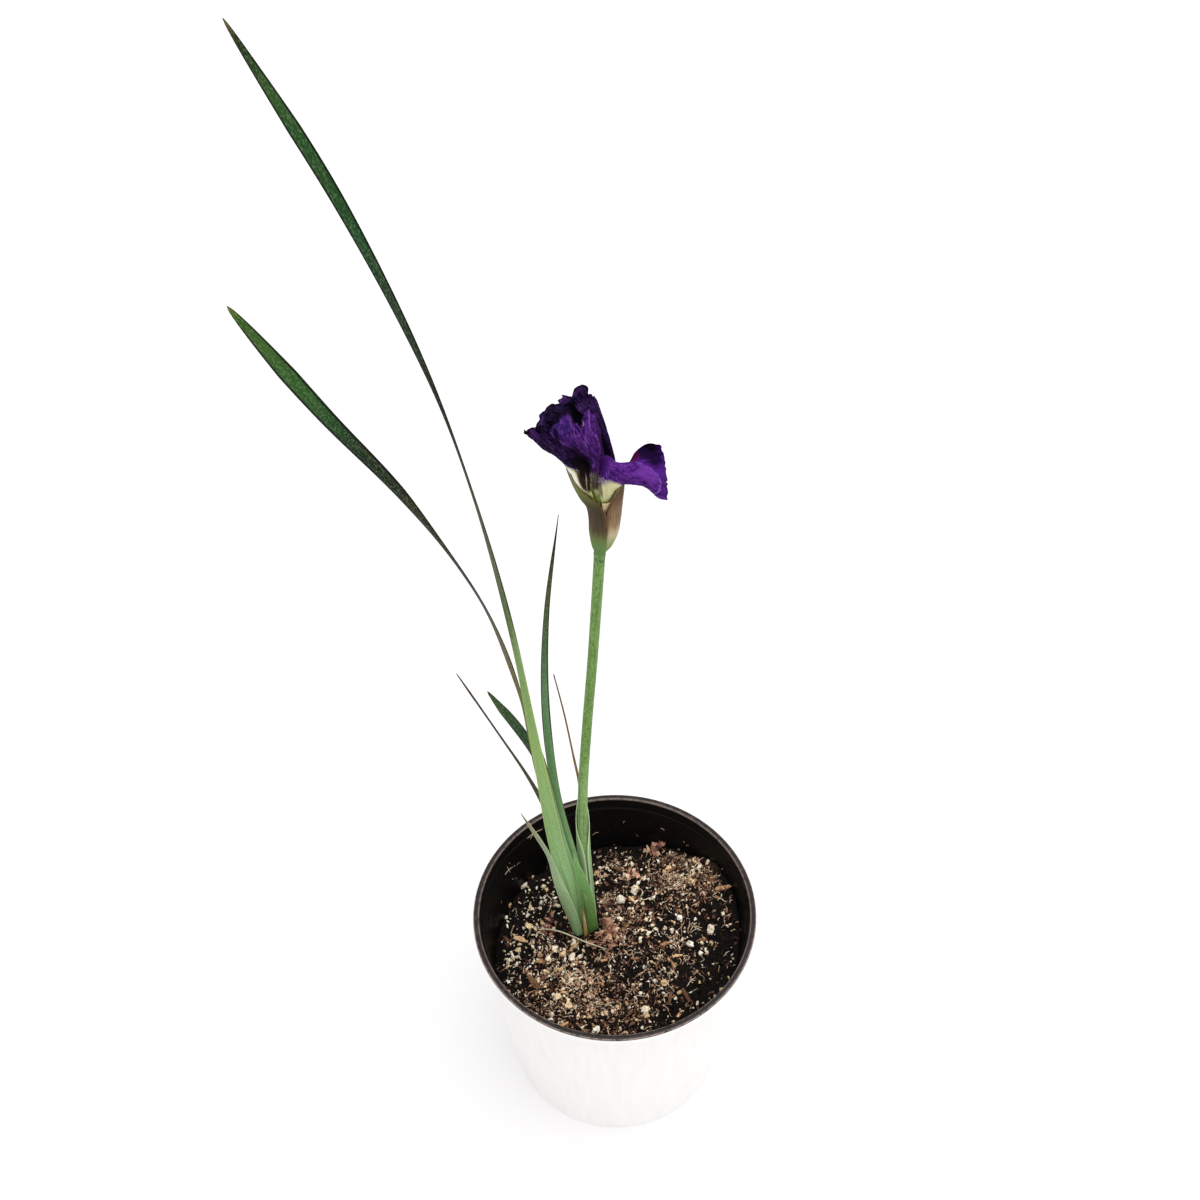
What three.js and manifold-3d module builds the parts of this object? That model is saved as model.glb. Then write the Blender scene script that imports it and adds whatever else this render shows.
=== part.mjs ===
// A potted Siberian iris: one fan of sword leaves and one half-closed violet bloom on its stem,
// rooted in a nursery pot of soil. Millimetres, +Z up, the origin under the middle of the pot.
// +X is to the right and -Y towards the viewer, seen from the front.
import * as THREE from 'three';
import { mergeVertices } from 'three/addons/utils/BufferGeometryUtils.js';
import Module from 'manifold-3d';

const wasm = await Module();
wasm.setup();

// Pot
const potHeight = 147;
const rimRadius = 82.5;
const baseRadius = 65.5;
const potWall = 1.2;
const rimLip = 3;
const rimDepth = 6;
const ledgeDrop = 7.5;
const ledgeStep = 0.7;
const footWidth = 6;
const padRadius = 30;
const channelRise = 3;
const drainHoles = 6;
const drainHoleRadius = 4.5;
const edgeRound = 0.8;
const innerSlant = 0.4;
const cornerCut = 1.2;

// Soil and what grows in it
const clearance = 0.3;
const soilLevel = 102;
const plantX = -17;
const plantY = 14.8;
const crownTop = 88;
const crownRadius = 10.9;
const crownDepth = 12;
const bladeThickness = 1;
const edgeThickness = 0.62;
const narrowest = 0.9;
const tipShare = 13;

// Bloom
const flowerFoot = new THREE.Vector3(-3, 17, 453);
const nodeBelowFlower = 29;
const petalThickness = 0.7;
const baseRing = 3;

const degrees = Math.PI / 180;

// Numbers and curves

// The same random numbers on every run
function dice(seed) {
  let state = seed;
  return () => {
    state = (state * 1664525 + 1013904223) % 4294967296;
    return state / 4294967296;
  };
}

// A smooth value between evenly spaced stations, at t from 0 to 1
function along(stations, t) {
  if (typeof stations === 'number') return stations;
  const place = t * (stations.length - 1);
  const i = Math.min(Math.floor(place), stations.length - 2);
  const f = place - i;
  const at = (k) => stations[Math.max(0, Math.min(stations.length - 1, k))];
  const [a, b, c, d] = [at(i - 1), at(i), at(i + 1), at(i + 2)];
  return b + 0.5 * f * (c - a + f * (2 * a - 5 * b + 4 * c - d + f * (3 * (b - c) + d - a)));
}

function alongPoints(points, t) {
  const axis = (k) => along(points.map((point) => point[k]), t);
  return new THREE.Vector3(axis(0), axis(1), axis(2));
}

function smoothCurve(points) {
  const places = points.map((point) => new THREE.Vector3(...point));
  return new THREE.CatmullRomCurve3(places, false, 'centripetal');
}

// Solids

function closedMesh(vertices, triangles) {
  const geometry = new THREE.BufferGeometry();
  const numbers = vertices.flatMap((vertex) => vertex.toArray());
  geometry.setAttribute('position', new THREE.Float32BufferAttribute(numbers, 3));
  geometry.setIndex(triangles);
  geometry.computeVertexNormals();
  return geometry;
}

// A thin sheet as a closed solid: point(u, v) is its middle surface, and both of its faces
// are split into triangles alike
function sheet(point, rows, columns, thickness) {
  const middle = [];
  for (let i = 0; i <= rows; i++) {
    for (let j = 0; j <= columns; j++) middle.push(point(i / rows, (2 * j) / columns - 1));
  }
  const at = (i, j) => middle[i * (columns + 1) + j];
  const front = [];
  const back = [];
  for (let i = 0; i <= rows; i++) {
    for (let j = 0; j <= columns; j++) {
      const down = at(Math.max(i - 1, 0), j);
      const up = at(Math.min(i + 1, rows), j);
      const left = at(i, Math.max(j - 1, 0));
      const right = at(i, Math.min(j + 1, columns));
      const out = right.clone().sub(left).cross(up.clone().sub(down)).normalize();
      out.multiplyScalar(thickness(i / rows, (2 * j) / columns - 1) / 2);
      front.push(at(i, j).clone().add(out));
      back.push(at(i, j).clone().sub(out));
    }
  }
  const half = front.length;
  const id = (i, j) => i * (columns + 1) + j;
  const triangles = [];
  for (let i = 0; i < rows; i++) {
    for (let j = 0; j < columns; j++) {
      const [a, b, c, d] = [id(i, j), id(i, j + 1), id(i + 1, j + 1), id(i + 1, j)];
      triangles.push(a, b, c, a, c, d, half + a, half + c, half + b, half + a, half + d, half + c);
    }
  }
  const edge = (p, q) => triangles.push(p, half + p, half + q, p, half + q, q);
  for (let j = 0; j < columns; j++) {
    edge(id(0, j), id(0, j + 1));
    edge(id(rows, j + 1), id(rows, j));
  }
  for (let i = 0; i < rows; i++) {
    edge(id(i + 1, 0), id(i, 0));
    edge(id(i, columns), id(i + 1, columns));
  }
  return closedMesh([...front, ...back], triangles);
}

// A round strand along a curve, with its radius changing along it
function strand(points, radii, sides, segments, extra = 0) {
  const curve = smoothCurve(points);
  const frames = curve.computeFrenetFrames(segments, false);
  const vertices = [];
  const triangles = [];
  for (let i = 0; i <= segments; i++) {
    const outward = (i === segments) - (i === 0);
    const centre = curve.getPointAt(i / segments).addScaledVector(frames.tangents[i], outward * extra);
    const radius = along(radii, i / segments) + extra;
    for (let j = 0; j < sides; j++) {
      const turn = (2 * Math.PI * j) / sides;
      vertices.push(centre.clone()
        .addScaledVector(frames.normals[i], radius * Math.cos(turn))
        .addScaledVector(frames.binormals[i], radius * Math.sin(turn)));
    }
  }
  for (let i = 0; i < segments; i++) {
    for (let j = 0; j < sides; j++) {
      const next = (j + 1) % sides;
      const [a, b, c, d] = [i * sides + j, i * sides + next, (i + 1) * sides + next, (i + 1) * sides + j];
      triangles.push(a, b, c, a, c, d);
    }
  }
  const last = segments * sides;
  for (let j = 1; j < sides - 1; j++) {
    triangles.push(0, j + 1, j, last, last + j, last + j + 1);
  }
  return closedMesh(vertices, triangles);
}

function toSolid(geometry) {
  const bare = geometry.clone();
  for (const name of ['normal', 'uv']) bare.deleteAttribute(name);
  const merged = mergeVertices(bare, 1e-4);
  return new wasm.Manifold(new wasm.Mesh({
    numProp: 3,
    vertProperties: new Float32Array(merged.attributes.position.array),
    triVerts: new Uint32Array(merged.index.array),
  }));
}

function toGeometry(solid) {
  const mesh = solid.getMesh();
  const geometry = new THREE.BufferGeometry();
  geometry.setAttribute('position', new THREE.Float32BufferAttribute(mesh.vertProperties, 3));
  geometry.setIndex(Array.from(mesh.triVerts));
  geometry.computeVertexNormals();
  return geometry;
}

// A leaf blade: its spine, the width along it, how far its face turns from the viewer, and
// how far its edges wrap round what lies behind it
function blade({ spine, width, turn = 0, wrap = 0, rows = 16, columns = 4, thick = bladeThickness }) {
  const curve = smoothCurve(spine);
  const viewer = new THREE.Vector3(0, -1, 0);
  const point = (u, v) => {
    const tangent = curve.getTangentAt(u);
    const face = viewer.clone().addScaledVector(tangent, -viewer.dot(tangent)).normalize();
    const side = tangent.clone().cross(face);
    const angle = along(turn, u) * degrees;
    const normal = face.clone().multiplyScalar(Math.cos(angle)).addScaledVector(side, Math.sin(angle));
    const across = side.clone().multiplyScalar(Math.cos(angle)).addScaledVector(face, -Math.sin(angle));
    const tip = Math.sqrt(Math.min(1, (1 - u) * tipShare));
    const span = Math.max(along(width, u) * tip, narrowest);
    const bend = Math.max(along(wrap, u) * degrees, 0.001);
    const radius = span / bend;
    return curve.getPointAt(u)
      .addScaledVector(across, radius * Math.sin((v * bend) / 2))
      .addScaledVector(normal, -radius * (1 - Math.cos((v * bend) / 2)));
  };
  const thickness = (u, v) => edgeThickness + (thick - edgeThickness) * (1 - Math.abs(v)) * (1 - 0.6 * u);
  return sheet(point, rows, columns, thickness);
}

// A sheath or valve wrapped round an axis: its middle line, its radius, and the bearings
// of its two edges, all along its height
function wrapped({ middle, radius, from, to, rows = 12, columns = 10, thick = petalThickness }) {
  const point = (u, v) => {
    const bearing = (along(from, u) + ((along(to, u) - along(from, u)) * (v + 1)) / 2) * degrees;
    const outward = new THREE.Vector3(Math.cos(bearing), Math.sin(bearing), 0);
    return alongPoints(middle, u).addScaledVector(outward, along(radius, u));
  };
  return sheet(point, rows, columns, () => thick);
}

// A petal: rows of points from its foot to its margin, with waves that grow towards the
// margin and crumpling over the whole of it
function petal({ net, waves = 3, ruffle = 0, crumple = 0, seed = 1, rows = 12, columns = 8 }) {
  const roll = dice(seed);
  const folds = [[2.2, 1.1], [3.7, -2.3], [5.6, 3.1]].map(([n, m]) => [n, m, roll() * 6.28]);
  const point = (u, v) => {
    const along3 = net.map((row) => alongPoints(row, (v + 1) / 2).toArray());
    const place = alongPoints(along3, u);
    const margin = u * u * (0.35 + 0.65 * v * v);
    const wave = ruffle * margin * Math.sin(2 * Math.PI * waves * (v * 0.5 + u * 0.4) + seed);
    const creases = folds.map(([n, m, phase]) => Math.sin(n * 3 * u + m * 2 * v + phase) / 3);
    const fold = crumple * u * creases.reduce((sum, crease) => sum + crease, 0);
    const outward = new THREE.Vector3(place.x, place.y, 0).normalize();
    return place.addScaledVector(outward, fold).add(new THREE.Vector3(0, 0, wave));
  };
  const solid = sheet(point, rows, columns, () => petalThickness);
  return solid.translate(flowerFoot.x, flowerFoot.y, flowerFoot.z);
}

const plant = new THREE.Group();

function place(name, geometry, color, roughness = 0.7) {
  const mesh = new THREE.Mesh(geometry, new THREE.MeshStandardMaterial({ color, roughness, metalness: 0 }));
  mesh.name = name;
  plant.add(mesh);
}

// Pot: a tapered wall with a rolled rim, a stacking ledge inside and a flat pad, a raised
// ring with drain holes and a foot ring below
const neckRadius = rimRadius - rimLip;
const outerRadiusAt = (z) => baseRadius + ((neckRadius - baseRadius) * z) / (potHeight - rimDepth);
const innerRadiusAt = (z) => outerRadiusAt(z) - potWall - (z < potHeight - ledgeDrop ? ledgeStep : 0);

function potShape() {
  const ledge = potHeight - ledgeDrop;
  const under = potHeight - rimDepth;
  const channelIn = padRadius + channelRise;
  const channelOut = baseRadius - footWidth;
  const profile = [
    [0, 0], [padRadius, 0], [channelIn, channelRise], [channelOut - channelRise, channelRise],
    [channelOut, 0], [baseRadius - edgeRound, 0], [baseRadius, edgeRound],
    [outerRadiusAt(50), 50], [outerRadiusAt(100), 100], [neckRadius, under],
    [rimRadius - edgeRound, under], [rimRadius, under + edgeRound],
    [rimRadius, potHeight - 2 * edgeRound], [rimRadius - edgeRound, potHeight - edgeRound / 2],
    [rimRadius - 2 * edgeRound, potHeight], [neckRadius - edgeRound, potHeight - edgeRound / 2],
    [innerRadiusAt(potHeight) - 0.2, potHeight - 2 * edgeRound],
    [innerRadiusAt(ledge), ledge], [innerRadiusAt(ledge - ledgeStep), ledge - ledgeStep],
    [innerRadiusAt(60), 60], [innerRadiusAt(potWall + 2), potWall + 2],
    [innerRadiusAt(0) - cornerCut, potWall],
    [channelOut + innerSlant, potWall], [channelOut - channelRise + innerSlant, channelRise + potWall],
    [channelIn - innerSlant, channelRise + potWall], [padRadius - innerSlant, potWall], [0, potWall],
  ].map(([r, z]) => new THREE.Vector2(r, z));
  const body = new THREE.LatheGeometry(profile, 40);
  body.rotateX(Math.PI / 2);
  let pot = toSolid(body);
  const ring = (channelIn + channelOut - channelRise) / 2;
  for (let i = 0; i < drainHoles; i++) {
    const bearing = ((i + 0.5) * 2 * Math.PI) / drainHoles;
    const hole = new THREE.CylinderGeometry(drainHoleRadius, drainHoleRadius, 4 * channelRise, 12);
    hole.rotateX(Math.PI / 2);
    hole.translate(ring * Math.cos(bearing), ring * Math.sin(bearing), channelRise);
    pot = pot.subtract(toSolid(hole));
  }
  return toGeometry(pot);
}

// Rhizome: the hidden crown that carries the shoots, on a short thick rhizome with its roots
const rootRuns = [
  [[-24, 14, 76], [-36, 12, 66], [-45, 18, 48], [-47, 24, 30]],
  [[-18, 10, 74], [-22, -4, 62], [-30, -16, 44], [-34, -22, 26]],
  [[-8, 12, 74], [4, 2, 60], [10, -8, 40], [12, -14, 20]],
  [[-2, 22, 76], [12, 26, 64], [24, 30, 46], [30, 38, 28]],
  [[-12, 22, 74], [-14, 34, 60], [-12, 44, 42], [-16, 48, 24]],
];

function rhizomeShape(extra) {
  const [top, bottom] = [crownRadius + extra, crownRadius - 2 + extra];
  const crown = new THREE.CylinderGeometry(top, bottom, crownDepth + 2 * extra, 16);
  crown.rotateX(Math.PI / 2);
  crown.translate(plantX, plantY, crownTop - crownDepth / 2);
  const bodyRun = [[-30, 12, 78], [-17, 14.8, 79], [-4, 19, 78], [7, 24, 77]];
  const body = strand(bodyRun, [4, 7.5, 7, 3.5], 10, 12, extra);
  let solid = toSolid(crown).add(toSolid(body));
  for (const run of rootRuns) solid = solid.add(toSolid(strand(run, [1.5, 1.2, 0.9], 5, 8, extra)));
  return solid;
}

// Soil: it fills the pot to an uneven surface, banked high against the wall at the back right,
// sunk along it at the front left, with grains and chips standing out of it and a plain hole
// for the shoots
const shootHole = crownRadius + clearance;
const shootHoleDepth = 60;
const soilEase = 0.5;
const moatBearing = 215 * degrees;

// A rounded rise, or a hollow where its height is below zero, of a given spread
function rise(x, y, centreX, centreY, height, spread) {
  return height * Math.exp(-((x - centreX) ** 2 + (y - centreY) ** 2) / spread ** 2);
}

function soilHeight(x, y) {
  const bank = rise(x, y, 76, 34, 26, 52);
  const pit = rise(x, y, 62, -2, -7, 16);
  const heap = rise(x, y, plantX, plantY, 6, 26.5);
  const slump = rise(x, y, -72, 8, -6, 22);
  const toWall = Math.exp(-(((Math.hypot(x, y) - 75) / 6) ** 2));
  const moat = -6 * toWall * (0.5 + 0.5 * Math.cos(Math.atan2(y, x) - moatBearing)) ** 2;
  const swell = 1.3 * Math.sin(x * 0.11 + 1) * Math.cos(y * 0.13) + 0.9 * Math.sin(x * 0.27 + y * 0.19);
  return soilLevel + bank + pit + heap + slump + moat + swell;
}

function soilShape() {
  const sectors = 36;
  const rings = [0.14, 0.28, 0.42, 0.55, 0.67, 0.78, 0.88, 1];
  const vertices = [new THREE.Vector3(0, 0, soilHeight(0, 0))];
  const triangles = [];
  const edge = (z) => innerRadiusAt(z) - clearance;
  for (const ring of rings) {
    for (let j = 0; j < sectors; j++) {
      const bearing = (2 * Math.PI * (j + 0.5 * (rings.indexOf(ring) % 2))) / sectors;
      const [c, s] = [Math.cos(bearing), Math.sin(bearing)];
      let reach = ring * edge(soilLevel);
      if (ring === 1) reach = edge(soilHeight(reach * c, reach * s));
      vertices.push(new THREE.Vector3(reach * c, reach * s, soilHeight(reach * c, reach * s)));
    }
  }
  const base = potWall + clearance;
  const channel = channelRise + base;
  const channelOut = baseRadius - footWidth;
  const slant = innerSlant + soilEase;
  const lower = [
    [innerRadiusAt(5) - clearance, 5], [innerRadiusAt(0) - cornerCut - 0.7, base],
    [channelOut + slant, base],
    [channelOut - channelRise + slant, channel], [padRadius + channelRise - slant, channel],
    [padRadius - slant, base],
  ];
  for (const [reach, z] of lower) {
    for (let j = 0; j < sectors; j++) {
      const bearing = (2 * Math.PI * (j + 0.5)) / sectors;
      vertices.push(new THREE.Vector3(reach * Math.cos(bearing), reach * Math.sin(bearing), z));
    }
  }
  const bottom = vertices.push(new THREE.Vector3(0, 0, base)) - 1;
  const rows = rings.length + lower.length;
  for (let j = 0; j < sectors; j++) {
    const next = (j + 1) % sectors;
    triangles.push(0, 1 + j, 1 + next);
    for (let i = 0; i < rows - 1; i++) {
      const [a, b] = [1 + i * sectors + j, 1 + i * sectors + next];
      const [c, d] = [a + sectors, b + sectors];
      if (i < rings.length - 1 && i % 2 === 1) triangles.push(a, c, b, b, c, d);
      else triangles.push(a, c, d, a, d, b);
    }
    const last = 1 + (rows - 1) * sectors;
    triangles.push(last + j, bottom, last + next);
  }
  return toSolid(closedMesh(vertices, triangles));
}

const grainReach = 64;
const grainGap = 7;
const grainsFromShoots = 16;

function grains(count, seed) {
  const roll = dice(seed);
  const found = [];
  while (found.length < count) {
    const reach = Math.sqrt(roll()) * grainReach;
    const bearing = roll() * 2 * Math.PI;
    const [x, y] = [reach * Math.cos(bearing), reach * Math.sin(bearing)];
    const size = 1.6 + 2.6 * roll() ** 2;
    const grain = new THREE.IcosahedronGeometry(size, 0);
    grain.scale(1 + 0.7 * roll(), 0.7 + 0.4 * roll(), 0.6 + 0.3 * roll());
    grain.rotateX(roll() * 0.7);
    grain.rotateZ(roll() * Math.PI);
    grain.translate(x, y, soilHeight(x, y) - size * 0.1);
    const clear = Math.hypot(x - plantX, y - plantY) > grainsFromShoots;
    const apart = found.every(({ x: px, y: py }) => Math.hypot(px - x, py - y) > grainGap);
    if (clear && apart) found.push({ x, y, grain });
  }
  return found.map(({ grain }) => toSolid(grain));
}

const rhizome = rhizomeShape(0);
const hole = new THREE.CylinderGeometry(shootHole, shootHole, shootHoleDepth, 20);
hole.rotateX(Math.PI / 2);
hole.translate(plantX, plantY, crownTop + shootHoleDepth / 2);
let soil = soilShape();
for (const grain of grains(34, 11)) soil = soil.add(grain);
soil = soil.subtract(rhizomeShape(clearance)).subtract(toSolid(hole));

place('pot', potShape(), 0xe9e9e6, 0.45);
place('soil', toGeometry(soil), 0x2c221b, 0.95);
place('rhizome', toGeometry(rhizome), 0x8a6a45, 0.85);

// Leaves: each stands on the crown in the fan, nested front to back, and turns edge-on or
// leans as it grows. Widths, turns and wraps run evenly from the foot to the tip.
const shootFoot = crownTop + clearance;
const leafGreen = 0x4f8463;
const darkGreen = 0x2b5138;

place('leaf_tall', blade({
  spine: [[-20, 10.4, shootFoot + clearance], [-25.4, 10.4, 150], [-31.5, 10.4, 193], [-38.9, 9.5, 286],
    [-46.9, 11, 380], [-58.4, 18, 455], [-73.3, 28, 516], [-101, 42, 590], [-135.1, 55, 660]],
  width: [9, 9.3, 8.2, 5.5, 4.3, 5.7, 3.9, 5, 6.2, 5.4],
  turn: [0, 0, 0, -10, -30, -55, -60, -30, -8, 0],
  wrap: [50, 46, 30, 20, 10, 10, 10, 10, 10, 0],
  rows: 30,
}), leafGreen);

place('leaf_second', blade({
  spine: [[-19.5, 11.9, shootFoot], [-21.5, 12, 144], [-28.5, 13, 190], [-39.9, 17, 277],
    [-46.1, 17.5, 325], [-58.4, 9.5, 396], [-84.4, -4, 476], [-110.1, -15, 533], [-133.8, -28, 593.5]],
  width: [8, 9, 7, 7.5, 3, 8.2, 4.1, 6.3, 7.5, 7.5],
  turn: [0, 0, 0, -10, -35, -60, -45, -10, 0, 0],
  wrap: [60, 60, 40, 20, 10, 10, 10, 10, 10, 0],
  rows: 28,
}), leafGreen);

place('leaf_middle', blade({
  spine: [[-18, 13.6, shootFoot], [-19.5, 13.9, 143], [-22.7, 15.3, 177], [-30.9, 20, 237],
    [-33.7, 25, 304], [-30.6, 31, 366], [-22.5, 40, 425]],
  width: [8, 8, 5.2, 5, 5.1, 4, 2.5, 0.8],
  turn: [0, 0, -10, -20, -20, -20, -20, -20],
  wrap: [60, 60, 40, 20, 10, 10, 10, 0],
  rows: 20,
}), leafGreen);

place('leaf_narrow', blade({
  spine: [[-18.5, 15.1, shootFoot], [-21.4, 15.6, 145], [-26.3, 18, 174], [-37.3, 21.5, 219],
    [-45.5, 22, 247], [-59.3, 20.5, 288], [-76.5, 18, 339]],
  width: [6.5, 6, 4.3, 4.8, 3.5, 2.2, 3],
  turn: [0, 0, -14, -30, -40, -40, -40],
  wrap: [40, 40, 20, 0, 0, 0, 0],
  rows: 18,
}), 0x6b5a3c);

place('leaf_short', blade({
  spine: [[-17.6, 16.5, shootFoot], [-19.5, 17.1, 140], [-23.5, 19.6, 174], [-34.9, 25, 230],
    [-44.3, 30, 266], [-63.8, 33, 307]],
  width: [6.5, 6, 5.4, 5.4, 2.2, 6.6, 4.4],
  turn: [0, 0, -10, -20, -20, -10, 0],
  wrap: [40, 40, 20, 10, 0, 0, 0],
  rows: 16,
}), darkGreen);

place('leaf_outer', blade({
  spine: [[-22, 8.2, shootFoot], [-23, 7.9, 112], [-27.8, 7, 142], [-32.5, 5, 172], [-36.5, 3, 200],
    [-49, -2, 247]],
  width: [6.6, 7, 7.6, 5.6, 2.8, 2.4, 0.9],
  turn: [-12, -12, -8, 0, 0, 0, 0],
  wrap: [60, 60, 50, 40, 20, 10, 0],
  rows: 18,
}), 0x6fa07e);

place('fan_sheath', blade({
  spine: [[-14.6, 9, shootFoot], [-14.8, 8.9, 115], [-17, 8.9, 150], [-22.8, 8.8, 193]],
  width: [9.5, 10, 9.4, 6, 0.9],
  turn: [12, 12, 8, 0, 0],
  wrap: [70, 70, 55, 30, 0],
  rows: 12,
}), leafGreen);

place('foot_bract', blade({
  spine: [[-12.7, 7.4, shootFoot], [-12.9, 7.3, 115], [-15, 7.2, 140], [-18.6, 7.2, 157]],
  width: [7, 7.6, 6.4, 4, 0.9],
  turn: [20, 20, 14, 6],
  wrap: [60, 60, 50, 20],
  rows: 9,
}), 0x7fae6a);

place('dry_sheath', blade({
  spine: [[-17.6, 6.4, 96], [-17.6, 6, 112], [-18, 6, 128], [-19.2, 6.2, 142]],
  width: [2.2, 2.4, 1.8, 0.9],
  wrap: 20,
  thick: 0.7,
  rows: 7,
  columns: 2,
}), 0xb08a5a, 0.9);

// Flower stem, with the pedicel and the ovary that go on inside the spathe
const stemTop = flowerFoot.z - nodeBelowFlower;
const stemRun = [[-14, 21, shootFoot], [-15.5, 21.5, 130], [-17, 22.5, 182], [-16.2, 23.5, 229],
  [-12.5, 23.5, 288], [-8.5, 21.5, 343], [-5.3, 18.5, 394], [-3.5, 17, stemTop]];
const stem = toSolid(strand(stemRun, [2.9, 2.9, 2.8, 2.7, 2.6, 2.6, 2.7], 12, 18));
const ovary = toSolid(strand([[-3.5, 17, stemTop - 4], [-3.2, 17, stemTop + 7], [-3, 17, stemTop + 16]],
  [1.5, 1.7, 2.1, 1.8], 10, 6));
place('flower_stem', toGeometry(stem.add(ovary)), 0x5f9550);

// Stem leaf: its sheath clasps the stem and its blade ends thin and brown
const sheathGap = 3.7;
place('stem_leaf', wrapped({
  middle: [[-14.3, 21.1, 98], [-15.9, 21.7, 140], [-17, 22.5, 180], [-17, 23.2, 204], [-17.5, 24.5, 226],
    [-20.5, 26.5, 252], [-24.5, 29.5, 286], [-29, 33.5, 314]],
  radius: [sheathGap, sheathGap, sheathGap, sheathGap, 3.9, 4, 4, 4],
  from: [-55, -45, -35, 10, 72, 82, 84, 86],
  to: [235, 230, 225, 170, 108, 98, 96, 94],
  rows: 18,
  columns: 6,
}), leafGreen);

// Spathe: an outer valve at the left and an inner one at the right, which cross in front
// and open round the flower tube, with a thin pale bract between them
function fromFlower(points) {
  return points.map(([x, y, z]) => [flowerFoot.x + x, flowerFoot.y + y, flowerFoot.z + z]);
}

place('spathe_outer', wrapped({
  middle: fromFlower([[0.2, 0, -28.4], [0.7, 0, -24.5], [1.4, 0, -17], [2, 0, -8.5], [0.9, -0.2, 0],
    [-2.4, -0.4, 6], [-5.6, -0.6, 12], [-8.6, -1.6, 18], [-11.2, -3, 24]]),
  radius: [3.4, 4.9, 6.4, 7.1, 7.1, 6.8, 5.9, 4.4, 3],
  from: [75, 78, 80, 86, 96, 118, 136, 160, 186],
  to: [288, 285, 281, 279, 281, 280, 254, 222, 194],
  rows: 16,
}), 0x7c9a5e);

place('spathe_inner', wrapped({
  middle: fromFlower([[0.5, 0, -28.4], [1.4, 0, -24.5], [2.6, 0, -17], [3.2, 0, -8.5], [3.5, 0, -2],
    [3.8, -0.2, 4], [4.1, -0.3, 8.5], [4.3, -0.4, 12.5]]),
  radius: [2.4, 3.9, 5.3, 5.9, 6.2, 6.4, 6.5, 6.5],
  from: [-100, -100, -99, -97, -92, -71, -51, -37],
  to: [105, 104, 100, 92, 78, 58, 36, 10],
  rows: 13,
}), 0x9a7a6a);

place('inner_bract', wrapped({
  middle: fromFlower([[0.6, 0, -20], [1.4, 0, -12], [1.9, 0, -4], [2.1, -0.1, 4.5]]),
  radius: [3.4, 4.5, 4.9, 5.3],
  from: [-80, -86, -94, -104],
  to: [40, 20, -10, -52],
  rows: 8,
  columns: 6,
}), 0xe6d9a8);

// Flower tube: the green foot on which the petals stand in a ring
const tubeProfile = [[0, -12.6], [1.9, -12.6], [2.1, -8], [2.4, -4], [baseRing + 0.5, 0], [0, 0]]
  .map(([r, z]) => new THREE.Vector2(r, z));
const tube = new THREE.LatheGeometry(tubeProfile, 12);
tube.rotateX(Math.PI / 2);
tube.translate(flowerFoot.x, flowerFoot.y, flowerFoot.z);
place('flower_tube', tube, 0x86a65c);

// Petals, as rows of points from the foot to the margin, each row from one edge to the other.
// All are measured from the flower's foot.
const foot = clearance + 0.2;
const violet = 0x4b2388;
const darkViolet = 0x2b1650;

function footRow(bearing, width, points) {
  const half = width / 2 / baseRing;
  return Array.from({ length: points }, (_, k) => {
    const angle = bearing * degrees - half + (2 * half * k) / (points - 1);
    return [baseRing * Math.cos(angle), baseRing * Math.sin(angle), foot];
  });
}

place('fall_right', petal({
  net: [
    footRow(-33, 3.2, 4),
    [[0.4, -6.3, 10], [2.6, -6.4, 9.5], [5, -5, 9], [6.4, -2, 8.5]],
    [[-0.6, -6.6, 21.8], [1.9, -9.4, 22.8], [4.9, -9.8, 21.6], [9.3, -7, 16.7]],
    [[0.8, -6.2, 30.5], [2.8, -7.4, 33.4], [5.8, -10.5, 28.5], [11.8, -8.5, 18.5]],
    [[6, 0.5, 21.1], [8.1, -6, 28.1], [10.1, -10, 26.2], [15.2, -9.5, 19]],
    [[12.8, 3, 19.8], [15, -4, 25.6], [16.1, -9, 24.3], [18.7, -9.5, 18]],
    [[17.7, 5, 25.7], [20.7, -2, 23.1], [21.3, -7.5, 21.3], [21.7, -8.5, 14.7]],
    [[21.9, 4, 29.2], [24.9, 0, 19.8], [25.3, -5, 16.7], [24.5, -7, 9.7]],
    [[24.9, 3, 29.7], [27.9, 1, 21.1], [28.3, -3, 13.6], [27.2, -5.5, 6.2]],
    [[26.2, 2, 29.1], [29.3, 1, 19.3], [30.3, -2, 11.5], [30.3, -4.5, 4.3]],
  ],
  ruffle: 0.5,
  crumple: 0.4,
  seed: 3,
  rows: 20,
}), violet);

place('fall_left', petal({
  net: [
    footRow(205, 3.2, 3),
    [[-5.8, -1.5, 6.9], [-5.2, -4.6, 9.4], [-3.1, -6.1, 10.1]],
    [[-9.4, -4, 14.6], [-7.4, -7.2, 16.2], [-4.2, -7.4, 15.7]],
    [[-12.5, -7, 26], [-10.4, -9.3, 26.5], [-7.4, -9.7, 24.8], [-4, -7.8, 22.4]],
    [[-17.5, -9.5, 35.4], [-14.7, -12, 36.1], [-9.7, -11.4, 34.3], [-4.5, -8, 31.1]],
    [[-23.1, -11, 41], [-19.4, -14, 45.1], [-13.7, -12.5, 43.1], [-6.6, -8.6, 38.4]],
    [[-27.7, -12, 46.9], [-24.1, -14.5, 50.8], [-19.3, -13.5, 48.4], [-12.4, -9, 43.9]],
    [[-30.7, -11.5, 51.9], [-26.9, -13.5, 53.8], [-22.8, -13.5, 53.9], [-16.3, -9, 49.9]],
  ],
  ruffle: 0.6,
  crumple: 0.7,
  seed: 5,
  rows: 14,
}), darkViolet);

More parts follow.
